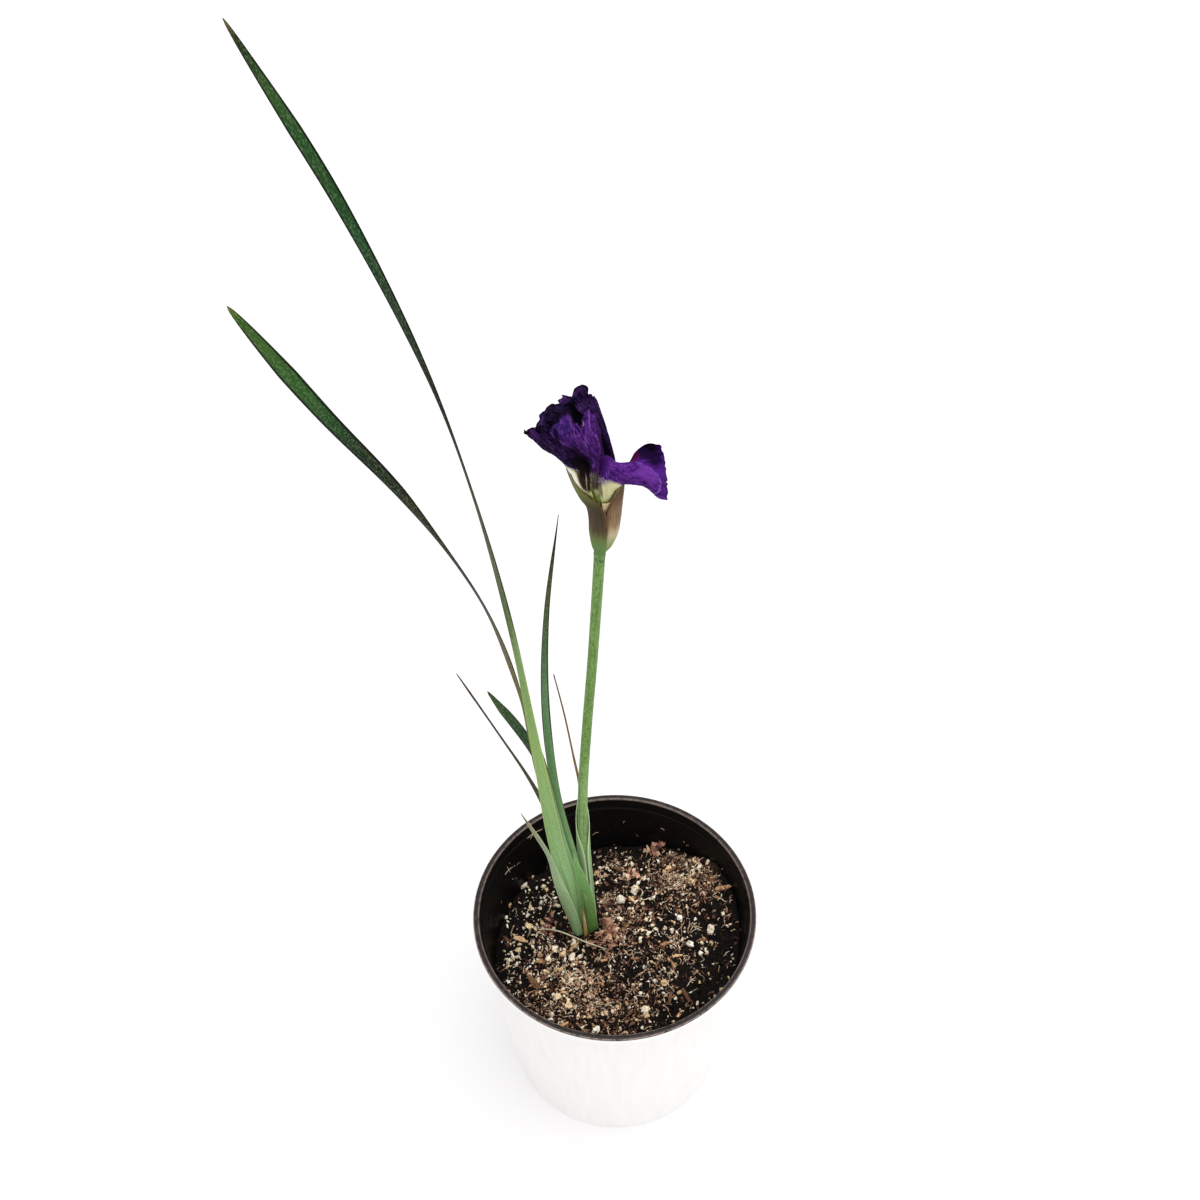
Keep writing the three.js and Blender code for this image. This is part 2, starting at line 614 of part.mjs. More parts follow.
place('fall_back', petal({
  net: [
    footRow(87, 3, 4),
    [[2.6, 6.2, 12], [0.4, 6.8, 11], [-2, 6.6, 11], [-4.2, 5.3, 12]],
    [[3, 11.5, 25], [-3, 13, 26], [-9, 11, 27], [-12.6, 5, 28]],
    [[1.3, 14, 35.2], [-3.8, 16, 38.2], [-10.3, 14, 40], [-16.7, 8, 39.6], [-20.5, 1, 39.5]],
    [[-1.6, 15, 42.2], [-7.1, 17, 45.2], [-12.2, 14, 45.6], [-18.3, 8, 44.1], [-22.8, -2, 45.4]],
    [[-4.5, 14.5, 48.7], [-7.5, 16, 53.3], [-11.1, 15, 48.8], [-14, 12.5, 51.1], [-15.8, 9, 48.9],
     [-20.2, 5, 49.3], [-23.9, 0, 49.5], [-25.8, -5, 49.1]],
  ],
  ruffle: 0.6,
  crumple: 0.6,
  seed: 7,
  rows: 14,
  columns: 10,
}), darkViolet);

place('standard_front', petal({
  net: [
    footRow(262, 1.8, 3),
    [[-2.1, -4.1, 10], [-0.9, -4.4, 10], [0.2, -4.1, 10]],
    [[-3.2, -6.2, 15.8], [-2.2, -6.8, 16.3], [-1.2, -6.2, 15.7]],
    [[-2.9, -9, 25.2], [-1.7, -9.4, 25.5], [-0.5, -8.8, 24.9]],
    [[-3.8, -10.6, 34.5], [-2.1, -11.2, 35.5], [0.1, -9.7, 34.1]],
    [[-9.1, -13.6, 42.8], [-6.1, -14, 43.8], [-3, -12.8, 42.7], [0.3, -9.7, 39.7]],
    [[-15.2, -15.6, 47.9], [-11.3, -16.6, 51.6], [-7.6, -16, 51], [-3.9, -13.4, 49.2],
     [-0.6, -9.6, 45.6]],
    [[-18.9, -15.8, 52.5], [-15.2, -16, 57.3], [-11.9, -15.6, 58], [-8.8, -14.4, 54.2],
     [-5.9, -13.2, 54.7], [-3.7, -11, 56.5], [-1.4, -9, 52.7]],
    [[-20.2, -15.4, 54.9], [-17.6, -14.5, 58.5], [-13.8, -13, 63.5], [-10.7, -12, 56.8],
     [-7.7, -12, 55.6], [-4.8, -10, 63.9], [-2.4, -8, 58.3]],
  ],
  ruffle: 0.8,
  crumple: 0.5,
  seed: 9,
  rows: 16,
  columns: 10,
}), violet);

place('standard_right', petal({
  net: [
    footRow(25, 1.9, 3),
    [[5.2, 2, 12], [3.6, 4.2, 11.5], [1.2, 5, 12]],
    [[6.9, 3.6, 21.5], [4.4, 7, 22], [0.4, 8.5, 24]],
    [[4.2, 6.6, 34], [1, 10, 36], [-5, 11.6, 38]],
    [[0.7, 8, 47.3], [-2.4, 11, 47.1], [-5.8, 12, 45.3], [-8.9, 11, 44.1]],
    [[-1.3, 8, 53.8], [-3.1, 10, 53.1], [-4.9, 12, 50.5], [-7.5, 12, 48.6], [-10.1, 10, 47.6]],
  ],
  ruffle: 0.5,
  crumple: 0.4,
  seed: 11,
}), darkViolet);

place('standard_left', petal({
  net: [
    footRow(147, 1.8, 3),
    [[-3.4, 4.5, 12], [-4.8, 3, 12], [-5.4, 0.8, 12]],
    [[-6, 7.4, 26], [-8.6, 4.8, 27], [-10, 0.5, 28]],
    [[-10.7, 9, 41.9], [-14, 6, 43.9], [-17.8, 0, 45.7]],
    [[-12.2, 9, 46.3], [-15.1, 6, 48.9], [-18.9, 2, 49.5], [-20.6, -2, 49.1]],
    [[-13.4, 9, 48.8], [-16.3, 7, 50.5], [-20.5, 3, 50.9], [-22.6, -2, 51.3]],
  ],
  ruffle: 0.6,
  crumple: 0.4,
  seed: 13,
}), violet);

// Style: a short column that opens into three petal-like arms, one over each fall
const fallBearings = [-35, 205, 85];
const styleTop = 11;

function styleArm(bearing) {
  const [c, s] = [Math.cos(bearing * degrees), Math.sin(bearing * degrees)];
  const run = [[0.5, 4], [1.1, 8], [2.3, 13], [4, 18]];
  const spans = [1.2, 2, 2.8, 3.2];
  const net = run.map(([reach, z], i) => [-1, 0, 1].map((side) => {
    const half = (side * spans[i]) / 2;
    return [reach * c - half * s, reach * s + half * c, z - Math.abs(side) * 0.2];
  }));
  return petal({ net, rows: 8, columns: 2 });
}

const column = new THREE.CylinderGeometry(0.8, 0.9, styleTop - clearance, 8);
column.rotateX(Math.PI / 2);
column.translate(flowerFoot.x, flowerFoot.y, flowerFoot.z + clearance + (styleTop - clearance) / 2);
let style = toSolid(column);
for (const bearing of fallBearings) style = style.add(toSolid(styleArm(bearing)));
place('style', toGeometry(style), 0x6a4aa8);

// Stamens: one under each style arm, a thin filament with a narrow anther
fallBearings.forEach((bearing, i) => {
  const [c, s] = [Math.cos(bearing * degrees), Math.sin(bearing * degrees)];
  const climb = [[1.75, clearance], [2.4, 6], [3.6, 11], [5.2, 16]];
  const run = fromFlower(climb.map(([reach, z]) => [reach * c, reach * s, z]));
  place(`stamen_${i + 1}`, strand(run, [0.36, 0.34, 0.4, 0.66, 0.4], 6, 10), 0xd8cba0);
});

export default plant;
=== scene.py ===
import math
import random

import bmesh
import bpy
import numpy as np
from mathutils import Euler, Matrix, Vector, noise


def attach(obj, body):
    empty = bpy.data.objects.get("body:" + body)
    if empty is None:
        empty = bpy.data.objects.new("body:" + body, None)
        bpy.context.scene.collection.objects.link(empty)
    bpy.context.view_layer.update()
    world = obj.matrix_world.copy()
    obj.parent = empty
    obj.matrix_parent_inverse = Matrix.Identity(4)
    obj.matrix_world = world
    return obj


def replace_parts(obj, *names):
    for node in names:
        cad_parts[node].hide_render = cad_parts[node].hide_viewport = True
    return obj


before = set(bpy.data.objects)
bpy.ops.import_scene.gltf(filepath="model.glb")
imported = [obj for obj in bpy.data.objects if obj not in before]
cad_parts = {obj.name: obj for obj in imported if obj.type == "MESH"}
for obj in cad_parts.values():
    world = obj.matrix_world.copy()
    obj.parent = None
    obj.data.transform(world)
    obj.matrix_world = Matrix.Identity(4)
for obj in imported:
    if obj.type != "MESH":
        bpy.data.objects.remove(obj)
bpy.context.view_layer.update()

# Camera
# The plant is seen from in front and from well above, as it stands on a table below the eye.
# Every size in this file is in millimetres, and mm turns it into the metres of the frame.
mm = 0.001
eye = Vector((-4.04, -473.36, 904.53))
look_down = math.radians(46.34)
lean = math.radians(-1.404)

lens = bpy.data.cameras.new("camera")
lens.lens = 45
lens.sensor_width = 36
lens.clip_start = 10 * mm
camera = bpy.data.objects.new("camera", lens)
aim = Matrix.Rotation(math.pi / 2 - look_down, 3, "X") @ Matrix.Rotation(lean, 3, "Z")
camera.location = eye * mm
camera.rotation_euler = aim.to_euler()
bpy.context.scene.collection.objects.link(camera)
bpy.context.scene.camera = camera


# Pot
# A tapered nursery pot, moulded from two skins of plastic: white outside, black inside and
# over the rolled rim. A stacking ledge runs round inside, and the raised channel of its foot
# has six drain holes.
pot_height = 147
rim_radius = 82.5
base_radius = 65.5
pot_wall = 1.2
rim_lip = 3
rim_depth = 6
ledge_drop = 7.5
ledge_step = 0.7
foot_width = 6
pad_radius = 30
channel_rise = 3
drain_holes = 6
drain_hole_radius = 4.5
edge_round = 1.1
inner_slant = 0.4
corner_cut = 1.2
black_fold = 2.6
neck_radius = rim_radius - rim_lip
under_rim = pot_height - rim_depth


def tint(code):
    """A colour from its hex code, as a shader takes it."""
    parts = [int(code[i:i + 2], 16) / 255 for i in (0, 2, 4)]
    light = [((part + 0.055) / 1.055) ** 2.4 if part > 0.04 else part / 12.92 for part in parts]
    return (*light, 1.0)


class Shade:
    """A socket of a finish, which joins in sums as a number does."""

    def __init__(self, finish, socket):
        self.finish = finish
        self.socket = socket

    def maths(self, operation, *values):
        return self.finish.node("Math", {"operation": operation}, dict(enumerate(values)))

    def __add__(self, other):
        return self.maths("ADD", self, other)

    def __sub__(self, other):
        return self.maths("SUBTRACT", self, other)

    def __rsub__(self, other):
        return self.maths("SUBTRACT", other, self)

    def __mul__(self, other):
        return self.maths("MULTIPLY", self, other)

    def __pow__(self, other):
        return self.maths("POWER", self, other)

    def __abs__(self):
        return self.maths("ABSOLUTE", self)

    __radd__ = __add__
    __rmul__ = __mul__


class Finish:
    """A material: the nodes of its look, and the shader that they feed."""

    def __init__(self, name, constants):
        self.material = bpy.data.materials.new(name)
        self.material.use_nodes = True
        self.tree = self.material.node_tree
        self.shader = self.tree.nodes["Principled BSDF"]
        self.feed(self.shader, constants)

    def feed(self, node, sockets):
        for name, value in sockets.items():
            if isinstance(value, Shade):
                self.tree.links.new(value.socket, node.inputs[name])
            else:
                node.inputs[name].default_value = tint(value) if isinstance(value, str) else value

    def node(self, kind, settings, sockets, output=0):
        node = self.tree.nodes.new("ShaderNode" + kind)
        for name, value in settings.items():
            if name == "stops":
                ramp = node.color_ramp.elements
                ramp[0].position, ramp[1].position = value[0][0], value[-1][0]
                for place, _ in value[1:-1]:
                    ramp.new(place)
                for element, (_, code) in zip(ramp, value):
                    element.color = tint(code)
            else:
                setattr(node, name, value)
        self.feed(node, sockets)
        return Shade(self, node.outputs[output])

    def mark(self, name):
        """A number that the mesh carries at each of its points."""
        return self.node("Attribute", {"attribute_name": name}, {}, "Fac")

    def noise(self, stretch, detail=3.0, over=None, swirl=0.0):
        """Cloudy noise, with so many clouds to the metre on each axis, or over another vector."""
        place = over or self.node("TexCoord", {}, {}, "Object")
        place = self.node("VectorMath", {"operation": "MULTIPLY"}, {0: place, 1: stretch})
        sockets = {"Vector": place, "Scale": 1.0, "Detail": detail, "Distortion": swirl}
        return self.node("TexNoise", {}, sockets)

    def ramp(self, shade, stops):
        return self.node("ValToRGB", {"stops": stops}, {"Fac": shade})

    def step(self, shade, low, high):
        """A mask that goes from 0 to 1 as the shade goes from low to high."""
        sockets = {"Value": shade, "From Min": low, "From Max": high}
        return self.node("MapRange", {"interpolation_type": "SMOOTHSTEP"}, sockets)

    def mix(self, mask, under, over):
        return self.node("Mix", {"data_type": "RGBA"}, {0: mask, 6: under, 7: over}, 2)

    def bump(self, height, depth):
        return self.node("Bump", {}, {"Height": height, "Distance": depth * mm})

    def dress(self, sockets):
        self.feed(self.shader, sockets)
        return self


def piece(name, slot, finishes, points, faces, smooth=True, **marks):
    """A mesh in millimetres that belongs to the plant, with a number for each point by name."""
    mesh = bpy.data.meshes.new(name)
    mesh.from_pydata(np.asarray(points) * mm, [], faces)
    mesh.polygons.foreach_set("use_smooth", [smooth] * len(mesh.polygons))
    for finish in finishes:
        mesh.materials.append(finish.material)
    for mark, values in marks.items():
        mesh.attributes.new(mark, "FLOAT", "POINT").data.foreach_set("value", np.ravel(values))
    thing = bpy.data.objects.new(name, mesh)
    bpy.context.scene.collection.objects.link(thing)
    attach(thing, "root")
    return thing


def outer_radius(z):
    return base_radius + (neck_radius - base_radius) * z / under_rim


def inner_radius(z):
    return outer_radius(z) - pot_wall - (ledge_step if z < pot_height - ledge_drop else 0)


def rounded(corners, radius, steps=4):
    """A profile with its corners rounded off."""
    run = [corners[0]]
    for before, corner, after in zip(corners, corners[1:], corners[2:]):
        before, corner, after = (np.array(point, float) for point in (before, corner, after))
        back, on = before - corner, after - corner
        reach = min(radius, np.linalg.norm(back) / 2, np.linalg.norm(on) / 2)
        start = corner + back / np.linalg.norm(back) * reach
        end = corner + on / np.linalg.norm(on) * reach
        for t in np.linspace(0, 1, steps + 1):
            run.append((1 - t) ** 2 * start + 2 * t * (1 - t) * corner + t ** 2 * end)
    return run + [corners[-1]]


def turned(profile, sectors):
    """A solid of revolution whose profile starts and ends on the axis."""
    bearings = np.linspace(0, 2 * math.pi, sectors, endpoint=False)
    rings = profile[1:-1]
    points = [(0, 0, profile[0][1])]
    for radius, z in rings:
        points += [(radius * math.cos(b), radius * math.sin(b), z) for b in bearings]
    points.append((0, 0, profile[-1][1]))
    last = len(points) - 1
    faces = []
    for j in range(sectors):
        k = (j + 1) % sectors
        faces.append((0, 1 + k, 1 + j))
        for i in range(len(rings) - 1):
            row = 1 + i * sectors
            faces.append((row + j, row + k, row + sectors + k, row + sectors + j))
        row = 1 + (len(rings) - 1) * sectors
        faces.append((row + j, row + k, last))
    return points, faces


ledge = pot_height - ledge_drop
channel_in = pad_radius + channel_rise
channel_out = base_radius - foot_width
outside = [
    (0, 0), (pad_radius, 0), (channel_in, channel_rise), (channel_out - channel_rise, channel_rise),
    (channel_out, 0), (base_radius, 0), (outer_radius(50), 50), (outer_radius(100), 100),
    (neck_radius, under_rim),
]
rim_and_inside = [
    (rim_radius, under_rim), (rim_radius, pot_height), (neck_radius - 0.4, pot_height),
    (inner_radius(ledge + 3), ledge + 3), (inner_radius(ledge), ledge),
    (inner_radius(ledge - ledge_step), ledge - ledge_step), (inner_radius(60), 60),
    (inner_radius(3), pot_wall), (channel_out + inner_slant, pot_wall),
    (channel_out - channel_rise + inner_slant, channel_rise + pot_wall),
    (channel_in - inner_slant, channel_rise + pot_wall), (pad_radius - inner_slant, pot_wall), (0, pot_wall),
]
pot_profile = rounded(outside + rim_and_inside, edge_round)

white_skin = Finish("white_pot_skin", {"Specular IOR Level": 0.4})
streaks = white_skin.noise((260, 260, 18), 2)
scuffs = white_skin.noise((900, 900, 500), 4)
white_skin.dress({
    "Base Color": white_skin.ramp(streaks * 0.7 + scuffs * 0.3, [(0.25, "f2f1ef"), (0.75, "f9f9f8")]),
    "Roughness": 0.4 + scuffs * 0.2,
    "Normal": white_skin.bump(streaks, 0.06),
})
black_skin = Finish("black_pot_skin", {"Specular IOR Level": 0.12})
smears = black_skin.noise((60, 60, 300), 3)
dust = black_skin.noise((700, 700, 1500), 5)
black_skin.dress({
    "Base Color": black_skin.mix(black_skin.step(dust, 0.64, 0.8) * 0.6, "0b0909", "3a3330"),
    "Roughness": 0.3 + black_skin.step(smears, 0.35, 0.7) * 0.25,
    "Normal": black_skin.bump(smears, 0.25),
})
rim_skin = Finish("scuffed_pot_rim_with_painted_highlight", {"Specular IOR Level": 0.3})
scuffs = rim_skin.noise((420, 420, 420), 4)
wear = rim_skin.noise((25, 25, 25), 3)
place = rim_skin.node("TexCoord", {}, {}, "Object")
flat_place = rim_skin.node("VectorMath", {"operation": "MULTIPLY"}, {0: place, 1: (1, 1, 0)})
reach = rim_skin.node("VectorMath", {"operation": "LENGTH"}, {0: flat_place}, "Value")
# Painted highlight: a pale line of colour along the rim's outer and inner edges, where light would glint on
# them, broken up by the scuff noise.
highlight_width = 0.7
outer_highlight_reach = rim_radius - 0.2
inner_highlight_reach = neck_radius - 0.2
outer_edge = rim_skin.step(reach, (outer_highlight_reach - highlight_width) * mm, outer_highlight_reach * mm)
inner_edge = 1 - rim_skin.step(reach, inner_highlight_reach * mm, (inner_highlight_reach + highlight_width) * mm)
painted_rim_highlight = (outer_edge + inner_edge * 0.6) * rim_skin.step(scuffs + wear * 0.4, 0.4, 0.75)
rim_skin.dress({
    "Base Color": rim_skin.mix(
        painted_rim_highlight * 0.8,
        rim_skin.ramp(scuffs * 0.7 + wear * 0.3, [
            (0.3, "080505"), (0.52, "1a1212"), (0.7, "3c3032")]),
        "a08c80"),
    "Roughness": 0.26 + scuffs * 0.25,
    "Normal": rim_skin.bump(scuffs, 0.2),
})

rim_slope = 0.25
skin_margin = 0.3
pot_points, pot_faces = turned(pot_profile, 180)
pot = piece("nursery_pot", "pot_plastic", [white_skin, black_skin, rim_skin], pot_points, pot_faces)
for face in pot.data.polygons:
    z = face.center.z / mm
    is_inside = face.center.xy.length / mm < outer_radius(z) - skin_margin and z > pot_wall - 0.05
    is_channel = z < channel_rise + skin_margin and face.normal.z < 0
    if z > pot_height - black_fold:
        face.material_index = 2 if face.normal.z > rim_slope else 1
    elif is_inside and not is_channel:
        face.material_index = 1


def drain_cutter():
    """Six short rods, one for each drain hole."""
    rods = bmesh.new()
    ring = (channel_in + channel_out - channel_rise) / 2
    for i in range(drain_holes):
        bearing = (i + 0.5) * 2 * math.pi / drain_holes
        place = Vector((ring * math.cos(bearing), ring * math.sin(bearing), channel_rise)) * mm
        size = drain_hole_radius * mm
        bmesh.ops.create_cone(rods, cap_ends=True, segments=32, radius1=size, radius2=size,
                              depth=4 * channel_rise * mm, matrix=Matrix.Translation(place))
    mesh = bpy.data.meshes.new("drain_cutter")
    rods.to_mesh(mesh)
    rods.free()
    cutter = bpy.data.objects.new("drain_cutter", mesh)
    bpy.context.scene.collection.objects.link(cutter)
    return cutter


cutter = drain_cutter()
cut = pot.modifiers.new("drain_holes", "BOOLEAN")
cut.operation = "DIFFERENCE"
cut.solver = "EXACT"
cut.object = cutter
bpy.context.view_layer.update()
pot.data = bpy.data.meshes.new_from_object(pot.evaluated_get(bpy.context.evaluated_depsgraph_get()))
pot.modifiers.clear()
bpy.data.objects.remove(cutter)
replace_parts(pot, "pot")


# Soil
# Peat potting mix, filled by hand: dark and crumbly, banked against the wall at the back
# right, sunk along it at the front left, and heaped a little round the shoots.
clearance = 0.3
soil_level = 102
plant_x = -17
plant_y = 14.8
moat_bearing = math.radians(215)


def rise(x, y, centre_x, centre_y, height, spread):
    """A rounded rise, or a hollow where its height is below zero."""
    return height * math.exp(-((x - centre_x) ** 2 + (y - centre_y) ** 2) / spread ** 2)


def soil_lie(x, y):
    """The height of the soil without its crumbs."""
    to_wall = math.exp(-((math.hypot(x, y) - 75) / 6) ** 2)
    moat = -6 * to_wall * (0.5 + 0.5 * math.cos(math.atan2(y, x) - moat_bearing)) ** 2
    swell = 1.3 * math.sin(x * 0.11 + 1) * math.cos(y * 0.13) + 0.9 * math.sin(x * 0.27 + y * 0.19)
    bank = rise(x, y, 76, 34, 26, 52) + rise(x, y, 62, -2, -7, 16)
    heap = rise(x, y, plant_x, plant_y, 6, 26.5) + rise(x, y, -72, 8, -6, 22)
    scraps = rise(x, y, -9, 4, 8, 5.5)
    return soil_level + bank + heap + scraps + moat + swell


def soil_top(x, y):
    """The height of the soil with its clods, crumbs and pits."""
    clods = 2.4 * noise.noise((x / 9, y / 9, 3))
    lumps = 2.2 * (0.5 - noise.voronoi((x / 5.5, y / 5.5, 1))[0][0])
    crumbs = 1.1 * (0.5 - noise.voronoi((x / 2.1, y / 2.1, 5))[0][0])
    grit = 0.5 * noise.noise((x / 1.1, y / 1.1, 9))
    return soil_lie(x, y) + clods + lumps + crumbs + grit


def warmth(x, y):
    """How dry and brown the soil is: most at the front left and on the bank at the back right."""
    dry = rise(x, y, -30, -30, 0.8, 26) + rise(x, y, 48, 40, 0.9, 22) + rise(x, y, 2, 16, 0.5, 14)
    return dry + rise(x, y, 8, -52, 0.5, 20)


highest_soil = 130
at_wall = 0.999
soil_rings = 150
soil_sectors = 420
below = [
    (inner_radius(60) - clearance, 60), (inner_radius(5) - clearance, 5),
    (inner_radius(0) - corner_cut - 0.7, pot_wall + clearance), (channel_out + 1, pot_wall + clearance),
    (channel_out - channel_rise + 0.9, pot_wall + channel_rise + clearance),
    (pad_radius + channel_rise - 0.9, pot_wall + channel_rise + clearance),
    (pad_radius - 0.9, pot_wall + clearance), (0, pot_wall + clearance),
]
soil_profile = [(0, 0)] + [(ring / soil_rings, 0) for ring in range(1, soil_rings + 1)] + below
soil_points, soil_faces = turned(soil_profile, soil_sectors)
soil_points = np.array(soil_points, float)
for i in range(1 + soil_rings * soil_sectors):
    x, y = soil_points[i, :2]
    edge = inner_radius(soil_level + 3) - clearance
    if math.hypot(x, y) > at_wall:
        edge = inner_radius(min(soil_lie(x * edge, y * edge), highest_soil)) - clearance
    soil_points[i] = (x * edge, y * edge, soil_top(x * edge, y * edge))
soil_faces = [face[::-1] for face in soil_faces]

peat = Finish("peat", {"Roughness": 0.95, "Specular IOR Level": 0.2})
damp = peat.noise((45, 45, 45), 3)
crumb = peat.noise((900, 900, 900), 5)
speck = peat.noise((2600, 2600, 2600), 3)
dark_peat = peat.ramp(crumb, [(0.35, "040303"), (0.55, "120d0a"), (0.75, "2c2018")])
dry_peat = peat.ramp(crumb, [(0.35, "0f0806"), (0.55, "33221a"), (0.75, "7a5844")])
peat.dress({
    "Base Color": peat.mix(peat.step(peat.mark("warm") * 0.6 + damp, 0.7, 1.1), dark_peat, dry_peat),
    "Normal": peat.bump(crumb * 0.6 + speck * 0.4, 0.9),
})
warm = [warmth(x, y) for x, y, _ in soil_points]
soil = piece("peat_soil", "potting_mix", [peat], soil_points, soil_faces, warm=warm)
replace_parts(soil, "soil")


# Grit, bark and fibre in the soil
# White perlite, bark chips, curled fibres and loose crumbs lie on the soil, half sunk in it.
# Some lie where they do in the picture, and the rest are strewn over it.
chance = random.Random(20)
soil_reach = 73
shoots_across = (9.5, 10)


def joined(parts):
    """One mesh from many: its points, its faces and how many points each part has."""
    points, faces, start = [], [], 0
    for part_points, part_faces in parts:
        points.append(part_points)
        faces += [[i + start for i in face] for face in part_faces]
        start += len(part_points)
    return np.concatenate(points), faces, [len(part_points) for part_points, _ in parts]


def within_wall(points):
    """The points of a small thing, moved in where it would come through the pot's wall."""
    x, y, z = points.T
    beyond = (np.hypot(x, y) - outer_radius(z)).max() + skin_margin
    if beyond <= 0:
        return points
    outward = points.mean(axis=0) * (1, 1, 0)
    return points - outward / np.linalg.norm(outward) * beyond


def scatter(name, slot, finish, parts, shades, smooth=False):
    """Many small things as one piece, each with a shade of its own."""
    points, faces, counts = joined([(within_wall(points), faces) for points, faces in parts])
    piece(name, slot, [finish], points, faces, smooth=smooth, shade=np.repeat(shades, counts))


def shaded_finish(name, constants, stretch, detail, shares, stops, depth):
    """A finish whose colour follows each thing's own shade and, by its share, a fine noise."""
    finish = Finish(name, constants)
    grain = finish.noise(stretch, detail)
    colour = finish.ramp(finish.mark("shade") * shares[0] + grain * shares[1], stops)
    return finish.dress({"Base Color": colour, "Normal": finish.bump(grain, depth)})


def stained_finish(name, constants, stretch, stops, stain, span, strength, depth):
    """A finish of each thing's own shade, with a darker stain in its pits or lines."""
    finish = Finish(name, constants)
    grain = finish.noise(stretch, 4)
    colour = finish.mix(finish.step(grain, *span) * strength, finish.ramp(finish.mark("shade"), stops), stain)
    return finish.dress({"Base Color": colour, "Normal": finish.bump(grain, depth)})


def ball(level):
    """The points and faces of a round ball of triangles."""
    shell = bmesh.new()
    bmesh.ops.create_icosphere(shell, subdivisions=level, radius=1)
    points = np.array([vertex.co for vertex in shell.verts])
    faces = [[vertex.index for vertex in face.verts] for face in shell.faces]
    shell.free()
    return points, faces


def lump(shape, place, sizes, roughness, tilt=0.5):
    """A rough stone or crumb, turned at random."""
    points, faces = shape
    offset = Vector([chance.uniform(0, 50) for _ in range(3)])
    swell = np.array([1 + roughness * noise.noise(Vector(point) * 1.4 + offset) for point in points])
    turn = Euler((chance.uniform(-tilt, tilt), chance.uniform(-tilt, tilt), chance.uniform(0, 6.28)))
    points = points * swell[:, None] * (np.array(sizes) / 2)
    return points @ np.array(turn.to_matrix()).T + np.array(place), faces


def is_clear(x, y):
    """Not under the shoots and not against the wall."""
    at_shoots = math.hypot((x - plant_x - 1) / shoots_across[0], (y - plant_y) / shoots_across[1]) < 1
    return not at_shoots and math.hypot(x, y) < soil_reach


def strewn(count, patches):
    """Places on the soil: some anywhere, and some in patches of (x, y, spread, count)."""
    found = []
    while len(found) < count:
        reach, bearing = soil_reach * math.sqrt(chance.random()), chance.uniform(0, 2 * math.pi)
        x, y = reach * math.cos(bearing), reach * math.sin(bearing)
        if is_clear(x, y):
            found.append((x, y))
    for centre_x, centre_y, spread, share in patches:
        left = share
        while left:
            x, y = chance.gauss(centre_x, spread), chance.gauss(centre_y, spread)
            if is_clear(x, y):
                found.append((x, y))
                left -= 1
    return found


big_perlite = [
    (-64.4, -4.1, 3), (-61.9, -2.8, 3), (-65.5, -9.1, 3), (-59.1, 2.3, 4), (-56.1, 46.5, 5),
    (-52.5, 17.1, 5.5),
    (-66, 35.2, 3), (-45.8, 31.1, 3), (-52.1, 32.3, 3), (-43.4, 43.8, 3), (-34.5, 28.1, 3), (12.5, 35.6, 5),
    (57.2, 4.3, 5.5), (44.9, -2.7, 5), (15.9, 8.5, 3.5), (34.5, 6.6, 3), (39.6, 12, 4.5), (26.5, 31.6, 2.5),
    (-10.1, 51.5, 4), (11.9, 55.2, 3), (7.4, 49.6, 3.5), (-5.1, 19.9, 3), (-28.7, -37, 5), (16.4, -42.7, 4.5),
    (-35.2, -32.2, 4), (-12.5, -52, 4), (10, -23.9, 3), (28.2, -26.4, 4), (23, -24.7, 3), (3.4, 17.3, 3.5),
    (53.4, 43.7, 2.5), (58.4, 46, 3), (34.8, 49, 3), (57.4, -3.7, 3), (-31.6, -4.7, 4), (-26.2, -7.2, 4.5),
    (4.5, 30.5, 6.5), (13.5, 38.5, 4.5),
    (-40.6, -5.7, 3.5), (-36.4, -0.8, 3.5), (-21.3, -5.7, 3), (-33.3, -14.1, 3), (-26.8, -21.4, 3),
]
stone, small_stone = ball(2), ball(1)
perlite = []
for x, y, across in big_perlite:
    size = across * 1.2
    sizes = (size, size * chance.uniform(0.6, 0.9), size * chance.uniform(0.5, 0.75))
    perlite.append(lump(stone, (x, y, soil_top(x, y) + size * 0.25), sizes, 0.85, 1.5))
loose_perlite = 260
perlite_patches = [
    (-62, -4, 4, 24), (-33, -4, 9, 90), (-46, 34, 11, 110), (-55, 10, 9, 50), (-42, -16, 10, 110),
    (8, 28, 10, 60), (0, 46, 13, 50), (24, 14, 13, 46), (-24, -36, 14, 90), (10, -50, 14, 60),
    (46, 38, 12, 30), (34, -16, 16, 80), (-4, 58, 9, 30), (16, 4, 13, 50),
]
for x, y in strewn(loose_perlite, perlite_patches):
    size = 0.9 + 2.6 * chance.random() ** 2.4
    sizes = (size, size * chance.uniform(0.5, 1), size * chance.uniform(0.4, 0.8))
    perlite.append(lump(small_stone, (x, y, soil_top(x, y) + size * 0.2), sizes, 1, 1.5))
perlite_finish = stained_finish(
    "perlite_grit", {"Roughness": 0.9, "Specular IOR Level": 0.25}, (1500, 1500, 1500),
    [(0.0, "d2ac7c"), (0.3, "f0dcb8"), (1.0, "fffaee")], "a88e66", (0.52, 0.7), 0.5, 0.35)
scatter("perlite", "potting_mix", perlite_finish, perlite, [chance.random() for _ in perlite])


def unit(vectors):
    return vectors / np.maximum(np.linalg.norm(vectors, axis=-1, keepdims=True), 1e-9)


